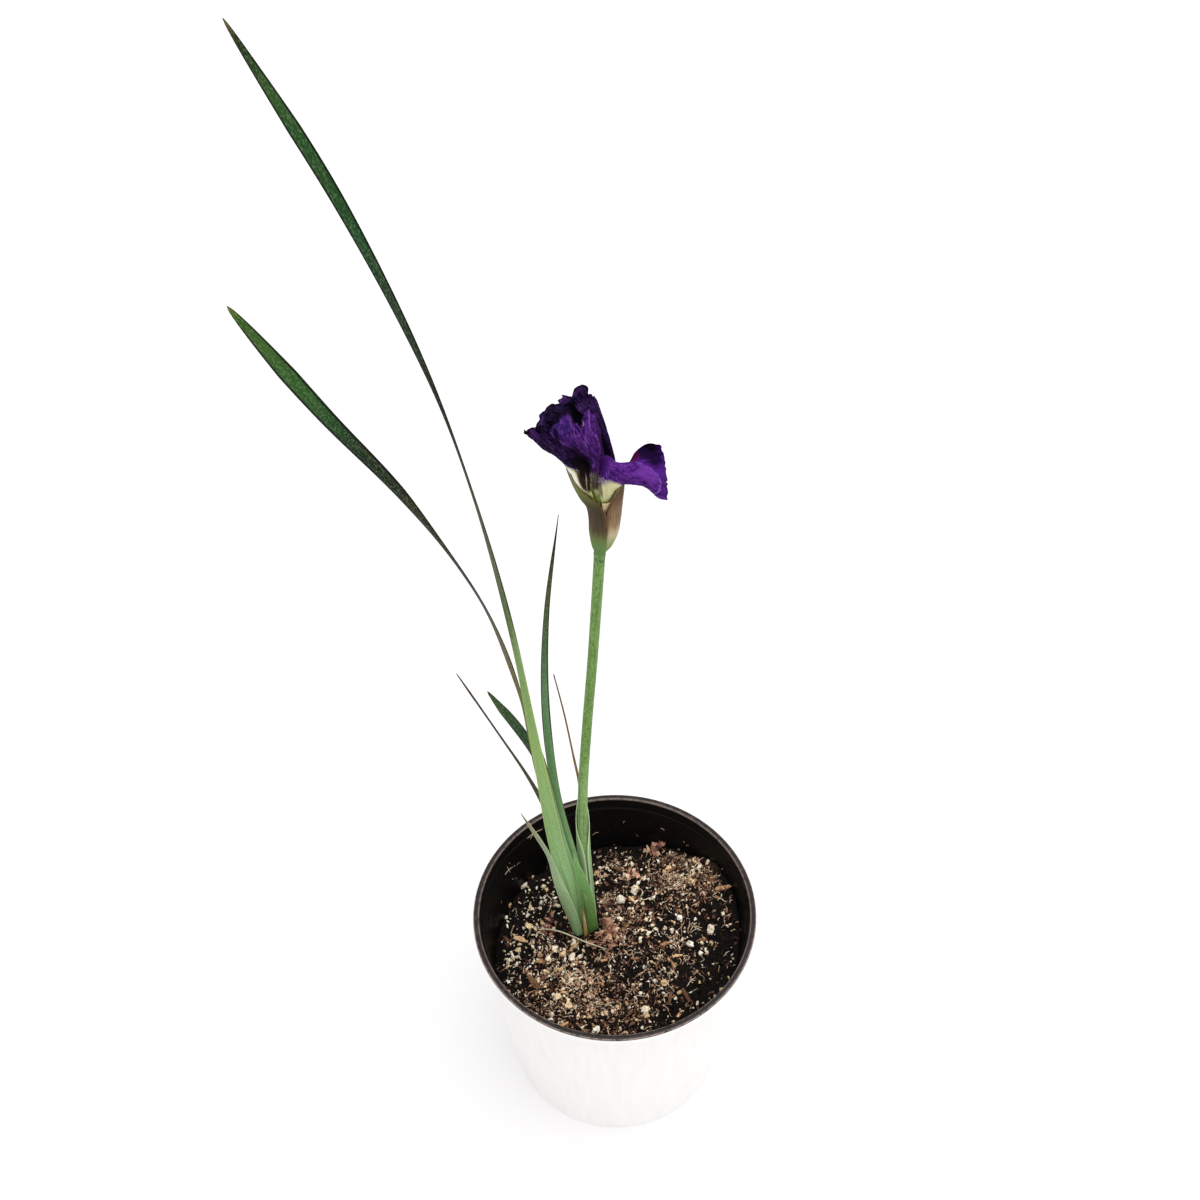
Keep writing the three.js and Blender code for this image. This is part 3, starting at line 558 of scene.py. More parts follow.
def thin_sheet(net, thickness):
    """Both faces and the rim of a thin sheet, from the net of points midway through it."""
    out = unit(np.cross(np.gradient(net, axis=1), np.gradient(net, axis=0)))
    half = out * np.broadcast_to(thickness, net.shape[:2])[..., None] / 2
    points = np.concatenate([(net + half).reshape(-1, 3), (net - half).reshape(-1, 3)])
    grid = np.arange(net.shape[0] * net.shape[1]).reshape(net.shape[:2])
    front = np.stack([grid[:-1, :-1], grid[:-1, 1:], grid[1:, 1:], grid[1:, :-1]], -1).reshape(-1, 4)
    loop = np.concatenate([grid[0, :-1], grid[:-1, -1], grid[-1, :0:-1], grid[:0:-1, 0]])
    on = np.roll(loop, -1)
    rim = np.stack([on, loop, loop + grid.size, on + grid.size], -1)
    faces = np.concatenate([front, front[:, ::-1] + grid.size, rim])
    return points, faces.tolist()


def chip(x, y, length, width, thickness):
    """A splinter of bark: a bent slab with ragged ends."""
    heading, bend = chance.uniform(0, math.pi), chance.uniform(-0.12, 0.2)
    dip = chance.uniform(-0.35, 0.35)
    net = np.zeros((7, 4, 3))
    for j in range(4):
        start, end = chance.uniform(-0.6, -0.42), chance.uniform(0.42, 0.6)
        for i in range(7):
            t = start + (end - start) * i / 6
            side = (j / 3 - 0.5) * width * (1 - 0.8 * abs(t)) + chance.uniform(-0.05, 0.05) * width
            height = bend * length * t * t + dip * length * t + chance.uniform(-0.1, 0.1)
            net[i, j] = (t * length, side, height)
    net = net @ np.array(Matrix.Rotation(heading, 3, "Z")).T
    net += (x, y, soil_top(x, y) + thickness * 0.6)
    return thin_sheet(net, thickness)


big_chips = [
    (-4.4, 25.9, 9), (66, 25.7, 9), (-4.2, 19.1, 6), (61, 32.6, 8), (30.5, -1.4, 7), (31.3, -36.1, 7),
    (40.9, -32.9, 8),
    (36.7, -44.4, 6), (-48.3, -22.3, 12), (-56.8, 10.2, 10), (-24.2, 1.7, 8), (11.1, 30.3, 4), (4.4, 54.1, 8),
    (27.4, 65, 9), (32.6, 54.9, 8), (-65.4, 11, 7), (-8.5, -23.9, 5), (-42.4, -17.5, 6), (11.6, -10.1, 5),
]
bark = [chip(x, y, length, length * 0.32, 1.1) for x, y, length in big_chips]
loose_chips = 50
chip_patches = [(45, 35, 17, 40), (4, 15, 12, 26), (-28, -28, 16, 24), (30, -30, 16, 10)]
for x, y in strewn(loose_chips, chip_patches):
    length = 2.2 + 5.5 * chance.random() ** 2
    bark.append(chip(x, y, length, length * chance.uniform(0.2, 0.42), chance.uniform(0.4, 0.9)))
bark_finish = stained_finish(
    "bark_chip", {"Roughness": 0.85, "Specular IOR Level": 0.25}, (500, 500, 2500),
    [(0.0, "452c1e"), (0.35, "8a6044"), (0.7, "c4966c"), (1.0, "f0cb98")], "33231a", (0.4, 0.7), 0.7, 0.3)
scatter("bark_chips", "potting_mix", bark_finish, bark, [chance.random() for _ in bark])


def tube(run, radii, sides, facing=(0, 0, 1)):
    """A closed round strand along a run of points."""
    run = np.asarray(run, float)
    ahead = unit(np.gradient(run, axis=0))
    side = unit(np.cross(ahead, facing))
    top = np.cross(side, ahead)
    bearings = np.linspace(0, 2 * math.pi, sides, endpoint=False)
    ring = side[:, None] * np.cos(bearings)[None, :, None] + top[:, None] * np.sin(bearings)[None, :, None]
    points = run[:, None] + ring * np.broadcast_to(radii, len(run))[:, None, None]
    grid = np.arange(len(run) * sides).reshape(len(run), sides)
    on = np.roll(grid, -1, axis=1)
    faces = np.stack([grid[:-1], on[:-1], on[1:], grid[1:]], -1).reshape(-1, 4).tolist()
    faces += [grid[0, ::-1].tolist(), grid[-1].tolist()]
    return points.reshape(-1, 3), faces


def fibre(x, y, length, thickness, curl, lift=0.4, steps=6):
    """A curled fibre that lies over the crumbs."""
    heading, bend = chance.uniform(0, 2 * math.pi), chance.gauss(0, curl)
    arch, run = chance.uniform(0.2, 1.4), []
    for t in np.linspace(0, 1, steps + 1):
        ground = soil_lie(x, y) + 0.45 * (soil_top(x, y) - soil_lie(x, y))
        run.append((x, y, ground + lift + arch * math.sin(math.pi * t)))
        heading += bend / steps + chance.gauss(0, 0.45)
        x += math.cos(heading) * length / steps
        y += math.sin(heading) * length / steps
    taper = np.interp(np.linspace(0, 1, steps + 1), [0, 0.15, 0.7, 1], [0.35, 0.9, 1, 0.3])
    return tube(run, thickness * taper, 4)


most_tones_dark = 0.7
loose_fibres = 380
fibre_patches = [
    (48, 38, 15, 150), (-3, 57, 9, 50), (12, 2, 14, 36), (40, -12, 15, 50), (-30, -26, 18, 90),
    (10, -40, 16, 60),
]
fibres, tones = [], []
for x, y in strewn(loose_fibres, fibre_patches):
    length = 2.5 + 7 * chance.random() ** 2
    if math.hypot(x, y) + length < soil_reach + 3:
        fibres.append(fibre(x, y, length, chance.uniform(0.09, 0.26), 0.9))
        tones.append(chance.random() ** (1.8 if chance.random() < most_tones_dark else 0.3))
clump_reach = 2.2
loose_clumps = 18
clump_patches = [
    (48, 40, 14, 40), (-3, 57, 9, 8), (4, 0, 9, 10), (38, -20, 14, 6), (-30, -28, 17, 40), (6, -46, 15, 22),
    (-2, 24, 8, 10),
]
clumps, clump_tones = [], []
for centre_x, centre_y in strewn(loose_clumps, clump_patches):
    tone = chance.uniform(0.15, 0.85)
    for _ in range(chance.randint(14, 26)):
        x, y = chance.gauss(centre_x, clump_reach), chance.gauss(centre_y, clump_reach)
        if math.hypot(x, y) < soil_reach - 1:
            length, lift = 1.2 + 2.6 * chance.random() ** 1.5, chance.uniform(0.1, 1.9)
            clumps.append(fibre(x, y, length, chance.uniform(0.1, 0.32), 0.5, lift, 3))
            clump_tones.append(min(max(tone + chance.gauss(0, 0.27), 0), 1))
fibre_finish = shaded_finish(
    "peat_fibre", {"Roughness": 0.8, "Specular IOR Level": 0.25}, (1800, 1800, 1800), 2, (0.85, 0.3),
    [(0.15, "0e0906"), (0.38, "50362a"), (0.58, "a67e66"), (0.78, "dcb898"), (1.0, "fff0d2")], 0.15)
scatter("soil_fibres", "potting_mix", fibre_finish, fibres, tones)
scatter("fibre_clumps", "potting_mix", fibre_finish, clumps, clump_tones)

loose_crumbs = 2800
crumb_patches = [
    (-28, -28, 17, 1600), (45, 36, 16, 800), (4, 10, 15, 500), (6, -48, 15, 750), (-4, 58, 9, 250),
]
crumbs, tones = [], []
for x, y in strewn(loose_crumbs, crumb_patches):
    size = 0.7 + 2.4 * chance.random() ** 2.2
    sizes = (size * 1.2, size * chance.uniform(0.45, 0.9), size * chance.uniform(0.3, 0.8))
    crumbs.append(lump(small_stone, (x, y, soil_top(x, y) + chance.uniform(0, 0.9)), sizes, 0.9, 1.2))
    tones.append(chance.random() ** 1.4 * (0.45 + 0.55 * min(warmth(x, y), 1)))
crumb_finish = shaded_finish(
    "peat_crumb", {"Roughness": 0.95, "Specular IOR Level": 0.2}, (1400, 1400, 1400), 4, (0.9, 0.35),
    [(0.2, "050403"), (0.42, "1d120c"), (0.58, "6a4434"), (0.74, "c8a07e"), (0.86, "f4dcb4"),
     (1.0, "fff2d4")], 0.4)
scatter("soil_crumbs", "potting_mix", crumb_finish, crumbs, tones)

# Flecks of soil that stick to the inside of the wall
splash_height = 26
wall_foot = soil_reach + 1
fleck_tries = 70
flecks_on_wall = []
for _ in range(fleck_tries):
    bearing = chance.uniform(0, 2 * math.pi)
    ground = soil_lie(wall_foot * math.cos(bearing), wall_foot * math.sin(bearing))
    z = ground + splash_height * chance.random() ** 2
    size = 0.4 + 0.8 * chance.random() ** 2
    reach = inner_radius(z) - size * 0.2
    if z < ledge - 2:
        place = (reach * math.cos(bearing), reach * math.sin(bearing), z)
        flecks_on_wall.append(lump(small_stone, place, (size, size, size * 1.4), 0.7, 1.5))
tones = [chance.uniform(0.1, 0.5) for _ in flecks_on_wall]
scatter("wall_flecks", "potting_mix", crumb_finish, flecks_on_wall, tones)

# Pale root hairs that dried on to the inside of the wall: bearing and height of both ends
wall_hair_radius = 0.13
unseen_hairs = 14
stuck = [
    (132.6, 138.5, 124, 138.4), (128, 139.5, 131, 136.4), (147.5, 131.7, 146.4, 124.8), (150, 128, 144, 127),
]
seen_hairs = len(stuck)
for _ in range(unseen_hairs):
    bearing, z = chance.uniform(35, 165), chance.uniform(112, 139)
    stuck.append((bearing, z, bearing + chance.uniform(-3, 3), z + chance.uniform(-1.5, 1.5)))
wall_hairs = []
for first, first_z, last, last_z in stuck:
    run = []
    for s in np.linspace(0, 1, 7):
        angle = math.radians(first + (last - first) * s)
        z = first_z + (last_z - first_z) * s + 0.6 * math.sin(4 * s)
        reach = inner_radius(z) - 0.15
        run.append((reach * math.cos(angle), reach * math.sin(angle), z))
    wall_hairs.append(tube(run, wall_hair_radius, 4))
tones = [chance.uniform(0.5, 0.8) if i >= seen_hairs else 0.95 for i in range(len(wall_hairs))]
scatter("wall_hairs", "potting_mix", fibre_finish, wall_hairs, tones, smooth=True)


# Rhizome
# The creeping root-stock from which the shoots rise, with its cord-like roots. It lies
# under the soil, woody and ringed with old leaf scars.


def lined_finish(name, constants, stretch, detail, stops, depth):
    """A finish with one kind of line or cloud, which colours it and stands up a little."""
    finish = Finish(name, constants)
    lines = finish.noise(stretch, detail)
    return finish.dress({"Base Color": finish.ramp(lines, stops), "Normal": finish.bump(lines, depth)})


rhizome_finish = lined_finish(
    "rhizome_bark", {"Roughness": 0.9, "Specular IOR Level": 0.2}, (300, 300, 1600), 4,
    [(0.3, "4d3522"), (0.5, "8a6a45"), (0.7, "b5946a")], 0.5)
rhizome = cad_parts["rhizome"]
rhizome.data.materials.clear()
rhizome.data.materials.append(rhizome_finish.material)


# Leaves
# Sword-shaped blades in one flat fan, each folded round the next at its foot and flat and
# thin above. They are waxy and pale blue-green low down, darker green above, finely ribbed
# along their length, and the thin ones are drying brown. Their colours also carry painted
# light: paler than their own green low down, where the pot and the other leaves shade them,
# and painted shade, near black, where a blade twists away from the light.
shoot_foot = 88.3
tip_share = 13
viewer = np.array([0.0, -1.0, 0.0])


def smooth_run(points, steps):
    """Evenly spaced points along a smooth curve through the given ones."""
    points = np.array(points, float)
    points = np.vstack([2 * points[0] - points[1], points, 2 * points[-1] - points[-2]])
    t = np.linspace(0, 1, 60, endpoint=False)[:, None]
    dense = []
    for a, b, c, d in zip(points, points[1:], points[2:], points[3:]):
        ab, bc, cd = (math.sqrt(max(np.linalg.norm(q - p), 1e-6)) for p, q in ((a, b), (b, c), (c, d)))
        start = ((b - a) / ab - (c - a) / (ab + bc) + (c - b) / bc) * bc
        end = ((c - b) / bc - (d - b) / (bc + cd) + (d - c) / cd) * bc
        dense.append(b + start * t + (3 * (c - b) - 2 * start - end) * t ** 2
                     + (2 * (b - c) + start + end) * t ** 3)
    dense = np.vstack([*dense, points[-2:-1]])
    reach = np.concatenate([[0], np.cumsum(np.linalg.norm(np.diff(dense, axis=0), axis=1))])
    even = np.linspace(0, reach[-1], steps + 1)
    return np.stack([np.interp(even, reach, dense[:, k]) for k in range(3)], axis=1)


def settle(stations, t):
    """Smooth values at the places t, from 0 to 1, between evenly spaced stations."""
    stations = np.array(stations, float)
    last = len(stations) - 1
    i = np.minimum((t * last).astype(int), last - 1)
    f = (t * last - i).reshape((-1,) + (1,) * (stations.ndim - 1))
    a, b, c, d = (stations[np.clip(i + k, 0, last)] for k in (-1, 0, 1, 2))
    return b + 0.5 * f * (c - a + f * (2 * a - 5 * b + 4 * c - d + f * (3 * (b - c) + d - a)))


def sheet_piece(name, slot, finish, net, thickness, node):
    """A thin sheet in place of its node, marked with its length, width and sides."""
    points, faces = thin_sheet(net, thickness)
    rows, columns = net.shape[:2]
    along = np.tile(np.repeat(np.linspace(0, 1, rows), columns), 2)
    across = np.tile(np.linspace(-1, 1, columns), 2 * rows)
    inside = np.repeat([0.0, 1.0], rows * columns)
    thing = piece(name, slot, [finish], points, faces, along=along, across=across, inside=inside)
    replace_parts(thing, node)


def blade(name, slot, node, finish, spine, width, turn, wrap, keel=0.0, rows=200, columns=18):
    """A sword leaf: its spine, its widths, how far its face turns and how far its edges wrap."""
    u, v = np.linspace(0, 1, rows + 1), np.linspace(-1, 1, columns + 1)
    run = smooth_run(spine, rows)
    ahead = unit(np.gradient(run, axis=0))
    face = unit(viewer - ahead * (ahead @ viewer)[:, None])
    side = np.cross(ahead, face)
    angle = np.radians(settle(turn, u))[:, None]
    normal = face * np.cos(angle) + side * np.sin(angle)
    across = side * np.cos(angle) - face * np.sin(angle)
    span = np.maximum(settle(width, u) * np.clip((1 - u) * tip_share, 0, 1) ** 0.5, 0.25)
    bend = np.maximum(np.radians(settle(wrap, u)), 0.001)
    swing = v[None, :] * bend[:, None] / 2
    radius = (span / bend)[:, None]
    ribs = 0.05 * np.cos(v * 31)[None, :] * np.ones((rows + 1, 1))
    fold = keel * np.clip(1 - 2.2 * u, 0, 1)[:, None] * np.exp(-(v / 0.22) ** 2)[None, :]
    lift = ribs + fold - radius * (1 - np.cos(swing))
    reach = across[:, None] * (radius * np.sin(swing))[..., None]
    net = run[:, None] + reach + normal[:, None] * lift[..., None]
    thickness = (0.3 + 0.5 * (1 - np.abs(v))[None, :]) * (1 - 0.5 * u)[:, None]
    sheet_piece(name, slot, finish, net, thickness, node)


def leaf_finish(name, stops, edge, upper_edge=None, rib_depth=0.12, dryness=0.0):
    """Leaf green that changes from foot to tip, with fine ribs and a narrow margin."""
    finish = Finish(name, {"Specular IOR Level": 0.06})
    along, across = finish.mark("along"), finish.mark("across")
    skin = finish.node("CombineXYZ", {}, {"X": along, "Y": across})
    ribs = finish.noise((3, 24, 0), 3, skin)
    mottle = finish.noise((30, 3, 0), 4, skin)
    body = finish.ramp(along + (mottle - 0.5) * 0.03, stops)
    specks = finish.noise((1300, 1300, 700), 3)
    body = finish.mix(finish.step(specks, 0.5, 0.66) * 0.16, body, "b4d8a4")
    body = finish.mix((1 - finish.step(specks, 0.36, 0.48)) * 0.2, body, "12240f")
    shadow = finish.mix(finish.step(ribs, 0.35, 0.7) * 0.35, body, "22361c")
    blush = finish.mix(finish.step(mottle, 0.45, 0.75) * (0.12 + dryness), shadow, "9a9a63")
    side = abs(across) + (ribs - 0.5) * 0.06
    if upper_edge:
        height, code = upper_edge
        is_upper = finish.step(along, height - 0.08, height + 0.02)
        edge = finish.mix(is_upper, edge, code)
        side = side + is_upper * 0.2
    margin = finish.step(side, 0.86, 0.97)
    finish.dress({
        "Base Color": finish.mix(margin * 0.85, blush, edge),
        "Roughness": 0.42 + ribs * 0.2,
        "Normal": finish.bump(ribs, rib_depth),
    })
    return finish


blade(
    "tall_leaf", "leaf_blade", "leaf_tall",
    # Painted shade: the near-black stops from 0.58 to 0.79, where the blade twists away from the light.
    # Painted light: the pale stops up to 0.22, lighter than the leaf's own green where it stands in shade.
    leaf_finish("tall_leaf_green", [
        (0.0, "95bb70"), (0.06, "aad591"), (0.14, "afd999"), (0.22, "99c07e"), (0.34, "98ba6d"),
        (0.43, "86a866"), (0.46, "83a066"), (0.52, "77885a"), (0.58, "5a6240"), (0.65, "3a301c"),
        (0.7, "12100a"), (0.74, "101a12"), (0.79, "24382a"), (0.84, "1e4a28"), (0.89, "1f4a22"),
        (0.95, "34582a"), (0.985, "1c2410"), (1.0, "8a7a50")],
        "c2cf86", (0.5, "0c0d08")),
    spine=[(-20, 10.4, shoot_foot), (-25.4, 10.4, 150), (-31.5, 10.4, 193), (-38.9, 9.5, 286),
           (-46.9, 11, 380), (-58.4, 18, 455), (-73.3, 28, 516), (-101, 42, 590), (-135.1, 55, 660)],
    width=[9, 9.3, 8.2, 5.5, 4.3, 5.7, 3.9, 5, 6.2, 5.4],
    turn=[0, 0, 0, -10, -30, -55, -60, -30, -8, 0],
    wrap=[50, 46, 30, 20, 10, 10, 10, 10, 10, 0],
    keel=0.5, rows=260)

blade(
    "second_leaf", "leaf_blade", "leaf_second",
    # Painted shade: the near-black stops from 0.6 to 0.8, where the blade twists away from the light. Painted
    # light: the pale stops up to 0.26, lighter than the leaf's own green where it stands in shade.
    leaf_finish("second_leaf_green", [
        (0.0, "92bb79"), (0.12, "a8d6a2"), (0.26, "9bc182"), (0.38, "808650"), (0.5, "6a6038"),
        (0.6, "342418"), (0.68, "100c08"), (0.73, "2c2218"), (0.77, "0c120a"), (0.8, "0b170c"),
        (0.84, "18321a"), (0.87, "234c1f"), (0.9, "2c5a25"), (0.96, "3f6426"), (0.985, "3f6420"),
        (1.0, "7a8a30")],
        "4a3c28", (0.5, "0a0c07")),
    spine=[(-19.5, 11.9, shoot_foot), (-21.5, 12, 144), (-28.5, 13, 190), (-39.9, 17, 277),
           (-46.1, 17.5, 325), (-58.4, 9.5, 396), (-84.4, -4, 476), (-110.1, -15, 533), (-133.8, -28, 593.5)],
    width=[8, 9, 7, 7.5, 3, 8.2, 4.1, 6.3, 7.5, 7.5],
    turn=[0, 0, 0, -10, -35, -60, -45, -10, 0, 0],
    wrap=[60, 60, 40, 20, 10, 10, 10, 10, 10, 0],
    rows=240)

blade(
    "middle_leaf", "leaf_blade", "leaf_middle",
    leaf_finish("middle_leaf_green", [
        (0.0, "8ab173"), (0.15, "9dc694"), (0.3, "8fbb81"), (0.5, "78a46e"), (0.57, "74a070"),
        (0.66, "6c946a"), (0.76, "52724a"), (0.89, "56523a"), (0.95, "40281e"), (1.0, "4a2a20")],
        "5a4630", (0.6, "2c1c14")),
    spine=[(-18, 13.6, shoot_foot), (-19.5, 13.9, 143), (-22.7, 15.3, 177), (-30.9, 20, 237),
           (-33.7, 25, 304), (-30.6, 31, 366), (-22.5, 40, 425)],
    width=[8, 8, 5.2, 5, 5.1, 4, 2.5, 0.8],
    turn=[0, 0, -10, -20, -20, -20, -20, -20],
    wrap=[60, 60, 40, 20, 10, 10, 10, 0])

blade(
    "narrow_leaf", "leaf_brown", "leaf_narrow",
    leaf_finish("narrow_leaf_brown", [
        (0.0, "8ab173"), (0.25, "86a76e"), (0.45, "5a5434"), (0.6, "40301f"), (0.8, "32201a"),
        (1.0, "5a3626")],
        "20140e", dryness=0.08),
    spine=[(-18.5, 15.1, shoot_foot), (-21.4, 15.6, 145), (-26.3, 18, 174), (-37.3, 21.5, 219),
           (-45.5, 22, 247), (-59.3, 20.5, 288), (-76.5, 18, 339)],
    width=[6.5, 6, 4.3, 4.8, 3.5, 2.2, 3],
    turn=[0, 0, -14, -30, -40, -40, -40],
    wrap=[40, 40, 20, 0, 0, 0, 0])

blade(
    "short_leaf", "leaf_dark", "leaf_short",
    leaf_finish("short_leaf_green", [
        (0.0, "8ab173"), (0.3, "749b64"), (0.5, "476c45"), (0.8, "315131"), (1.0, "425633")], "141c0e"),
    spine=[(-17.6, 16.5, shoot_foot), (-19.5, 17.1, 140), (-23.5, 19.6, 174), (-34.9, 25, 230),
           (-44.3, 30, 266), (-63.8, 33, 307)],
    width=[6.5, 6, 5.4, 5.4, 2.2, 6.6, 4.4],
    turn=[0, 0, -10, -20, -20, -10, 0],
    wrap=[40, 40, 20, 10, 0, 0, 0])

blade(
    "outer_leaf", "leaf_blade", "leaf_outer",
    leaf_finish("outer_leaf_green", [
        (0.0, "7aa679"), (0.15, "a9d397"), (0.45, "bcdba4"), (0.62, "b0ca9e"), (0.8, "a2b393"),
        (0.92, "ab9a76"), (1.0, "5a3a24")],
        "d6e2bc"),
    spine=[(-22, 8.2, shoot_foot), (-23, 7.9, 112), (-27.8, 7, 142), (-32.5, 5, 172), (-36.5, 3, 200),
           (-49, -2, 247)],
    width=[6.6, 7, 7.6, 5.6, 2.8, 2.4, 0.9],
    turn=[-12, -12, -8, 0, 0, 0, 0],
    wrap=[60, 60, 50, 40, 20, 10, 0],
    keel=0.3)

blade(
    "fan_sheath_leaf", "leaf_blade", "fan_sheath",
    # Painted shade: the dark olive foot, stops 0 to 0.2, stands for the shade in the hollow between the
    # leaves.
    leaf_finish("fan_sheath_green", [
        (0.0, "2f2f14"), (0.2, "4f5a26"), (0.32, "77aa5a"), (0.6, "84b96a"), (0.9, "8ec677"),
        (1.0, "b1d79a")], "b9d68f"),
    spine=[(-14.6, 9, shoot_foot), (-14.8, 8.9, 115), (-17, 8.9, 150), (-22.8, 8.8, 193)],
    width=[9.5, 10, 9.4, 6, 0.9],
    turn=[12, 12, 8, 0, 0],
    wrap=[70, 70, 55, 30, 0],
    keel=0.3)

blade(
    "bract_leaf", "leaf_blade", "foot_bract",
    leaf_finish("foot_bract_green", [
        (0.0, "374f22"), (0.3, "477130"), (0.55, "6a994c"), (0.8, "7fa860"), (1.0, "b4cc92")], "8a8a4a"),
    spine=[(-12.7, 7.4, shoot_foot), (-12.9, 7.3, 115), (-15, 7.2, 140), (-18.6, 7.2, 157)],
    width=[7, 7.6, 6.4, 4, 0.9],
    turn=[20, 20, 14, 6],
    wrap=[60, 60, 50, 20])

blade(
    "dry_strip", "dry_leaf", "dry_sheath",
    leaf_finish("dry_strip_tan", [
        (0.0, "8a5a30"), (0.4, "d8a868"), (0.7, "f0cf98"), (1.0, "8a5c34")], "6b4526", dryness=0.2),
    spine=[(-17.6, 6.4, 96), (-17.6, 6, 112), (-18, 6, 128), (-19.2, 6.2, 142)],
    width=[2.2, 2.4, 1.8, 0.9],
    turn=[0, 0],
    wrap=[20, 20],
    rows=60, columns=8)


# Flower stem
# A solid round stalk, smooth and waxy green with faint ribs, with a ring where the spathe
# springs from it and the ovary above that, inside the spathe.
flower_foot = np.array([-3.0, 17.0, 453.0])
stem_top = flower_foot[2] - 29
stem_run = smooth_run([
    (-14, 21, shoot_foot), (-15.5, 21.5, 130), (-17, 22.5, 182), (-16.2, 23.5, 229), (-12.5, 23.5, 288),
    (-8.5, 21.5, 343), (-5.3, 18.5, 394), (-3.5, 17, stem_top)], 260)
t = np.linspace(0, 1, len(stem_run))
ring_swell = 0.22 * np.exp(-((stem_run[:, 2] - stem_top + 2.5) / 1.1) ** 2)
stem = tube(stem_run, settle([2.9, 2.9, 2.8, 2.7, 2.6, 2.6, 2.7], t) + ring_swell, 36, viewer)
ovary_run = smooth_run([(-3.5, 17, stem_top - 4), (-3.2, 17, stem_top + 7), (-3, 17, stem_top + 16)], 30)
ovary = tube(ovary_run, settle([1.5, 1.7, 2.1, 1.8], np.linspace(0, 1, 31)), 24, viewer)
points, faces, counts = joined([stem, ovary])
along = np.concatenate([np.repeat(t, 36), np.ones(counts[1])])
stem_finish = Finish("stem_green", {"Specular IOR Level": 0.12})
height = stem_finish.mark("along")
streaks = stem_finish.noise((900, 900, 14), 4)
patches = stem_finish.noise((90, 90, 60), 3)
green = stem_finish.ramp(height + (patches - 0.5) * 0.1, [
    (0.0, "99b082"), (0.2, "97b776"), (0.42, "8dae6c"), (0.55, "6f9349"),
    (0.9, "70944a"), (0.986, "6c9048"), (0.993, "3a4626"), (0.997, "6c9048"),
    (1.0, "648748")])
mottle = stem_finish.noise((1300, 1300, 500), 3)
green = stem_finish.mix(stem_finish.step(mottle, 0.5, 0.64) * 0.3, green, "94bd84")
green = stem_finish.mix((1 - stem_finish.step(mottle, 0.36, 0.47)) * 0.45, green, "2c4a22")
stem_finish.dress({
    "Base Color": stem_finish.mix(stem_finish.step(streaks, 0.48, 0.72) * 0.5, green, "3f5a2c"),
    "Roughness": 0.38 + patches * 0.2,
    "Normal": stem_finish.bump(streaks, 0.2),
})
stem_piece = piece("flower_stalk", "stem", [stem_finish], points, faces, along=along)
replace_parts(stem_piece, "flower_stem")


# Stem leaf
# One leaf of the stem: its sheath clasps the stalk low down, and its blade stands clear of
# it and has dried to a thin brown point.


def wrapped_net(middle, radius, start, end, rows, columns, ribs=0.04):
    """A sheath round an axis: its middle line, its radius and the bearings of its edges."""
    u, v = np.linspace(0, 1, rows + 1), np.linspace(0, 1, columns + 1)
    first, last = settle(start, u)[:, None], settle(end, u)[:, None]
    bearing = np.radians(first + (last - first) * v[None, :])
    reach = settle(radius, u)[:, None] + ribs * np.cos(bearing * 26)
    net = settle(middle, u)[:, None] + np.zeros((1, columns + 1, 1))
    net[..., 0] += reach * np.cos(bearing)
    net[..., 1] += reach * np.sin(bearing)
    return net


sheath_gap = 3.7
stem_leaf_net = wrapped_net(
    [(-14.3, 21.1, 98), (-15.9, 21.7, 140), (-17, 22.5, 180), (-17, 23.2, 204), (-17.5, 24.5, 226),
     (-20.5, 26.5, 252), (-24.5, 29.5, 286), (-29, 33.5, 314)],
    [sheath_gap, sheath_gap, sheath_gap, sheath_gap, 3.9, 4, 4, 4],
    [-63, -61, -54, 10, 72, 82, 84, 86],
    [291, 288, 270, 172, 108, 98, 96, 94], 160, 32)
stem_leaf_finish = leaf_finish("stem_leaf_green", [
    (0.0, "aac396"), (0.2, "b5d8a2"), (0.42, "aaca87"), (0.5, "9c9a62"), (0.6, "a4885a"),
    (0.75, "9a7450"), (0.88, "805638"), (1.0, "5a3626")],
    "cfe8b8", (0.6, "6a4630"))
sheet_piece("stalk_leaf", "leaf_blade", stem_leaf_finish, stem_leaf_net, 0.5, "stem_leaf")


# Spathe
# Two papery-edged valves that wrapped the bud: the outer one at the left, olive green and
# streaked with brown purple, and the inner one at the right, drying to a pinkish tan. A pale
# membrane stands between them.


def from_flower(points):
    """Points given from the foot of the bloom."""
    return np.array(points, float) + flower_foot


def spathe_finish(name, stops, streak, streak_span, edges, inner):
    """A valve: colour from foot to tip, streaked and speckled, with a thin edge at each side.

    Each edge has its side (-1 or 1), how wide it is, how high it starts, its colour and strength.
    """
    finish = Finish(name, {"Specular IOR Level": 0.1})
    along, across = finish.mark("along"), finish.mark("across")
    skin = finish.node("CombineXYZ", {}, {"X": along, "Y": across})
    fine = finish.noise((3, 34, 0), 4, skin)
    broad = finish.noise((3, 5, 0), 3, skin)
    specks = finish.noise((2600, 2600, 1600), 3)
    body = finish.ramp(along + (broad - 0.5) * 0.12, stops)
    where = finish.step(along + (broad - 0.5) * 0.3, streak_span[0], streak_span[0] + 0.15)
    where = where * (1 - finish.step(along, streak_span[1] - 0.15, streak_span[1]))
    outside = finish.mix(finish.step(fine * 0.6 + specks * 0.4, 0.42, 0.6) * where * 0.75, body, streak)
    outside = finish.mix(finish.step(specks + (broad - 0.5) * 0.4, 0.5, 0.68) * 0.05, outside, "c9bda4")
    for side, wide, start, code, strength in edges:
        rim = finish.step(across * side + (fine - 0.5) * 0.05, 1 - wide - 0.05, 1 - wide + 0.03)
        rim = rim * finish.step(along, start, start + 0.12)
        outside = finish.mix(rim * strength, outside, code)
    finish.dress({
        "Base Color": finish.mix(finish.mark("inside"), outside, inner),
        "Roughness": 0.5 + fine * 0.2,
        "Normal": finish.bump(fine * 0.7 + specks * 0.3, 0.2),
    })
    return finish


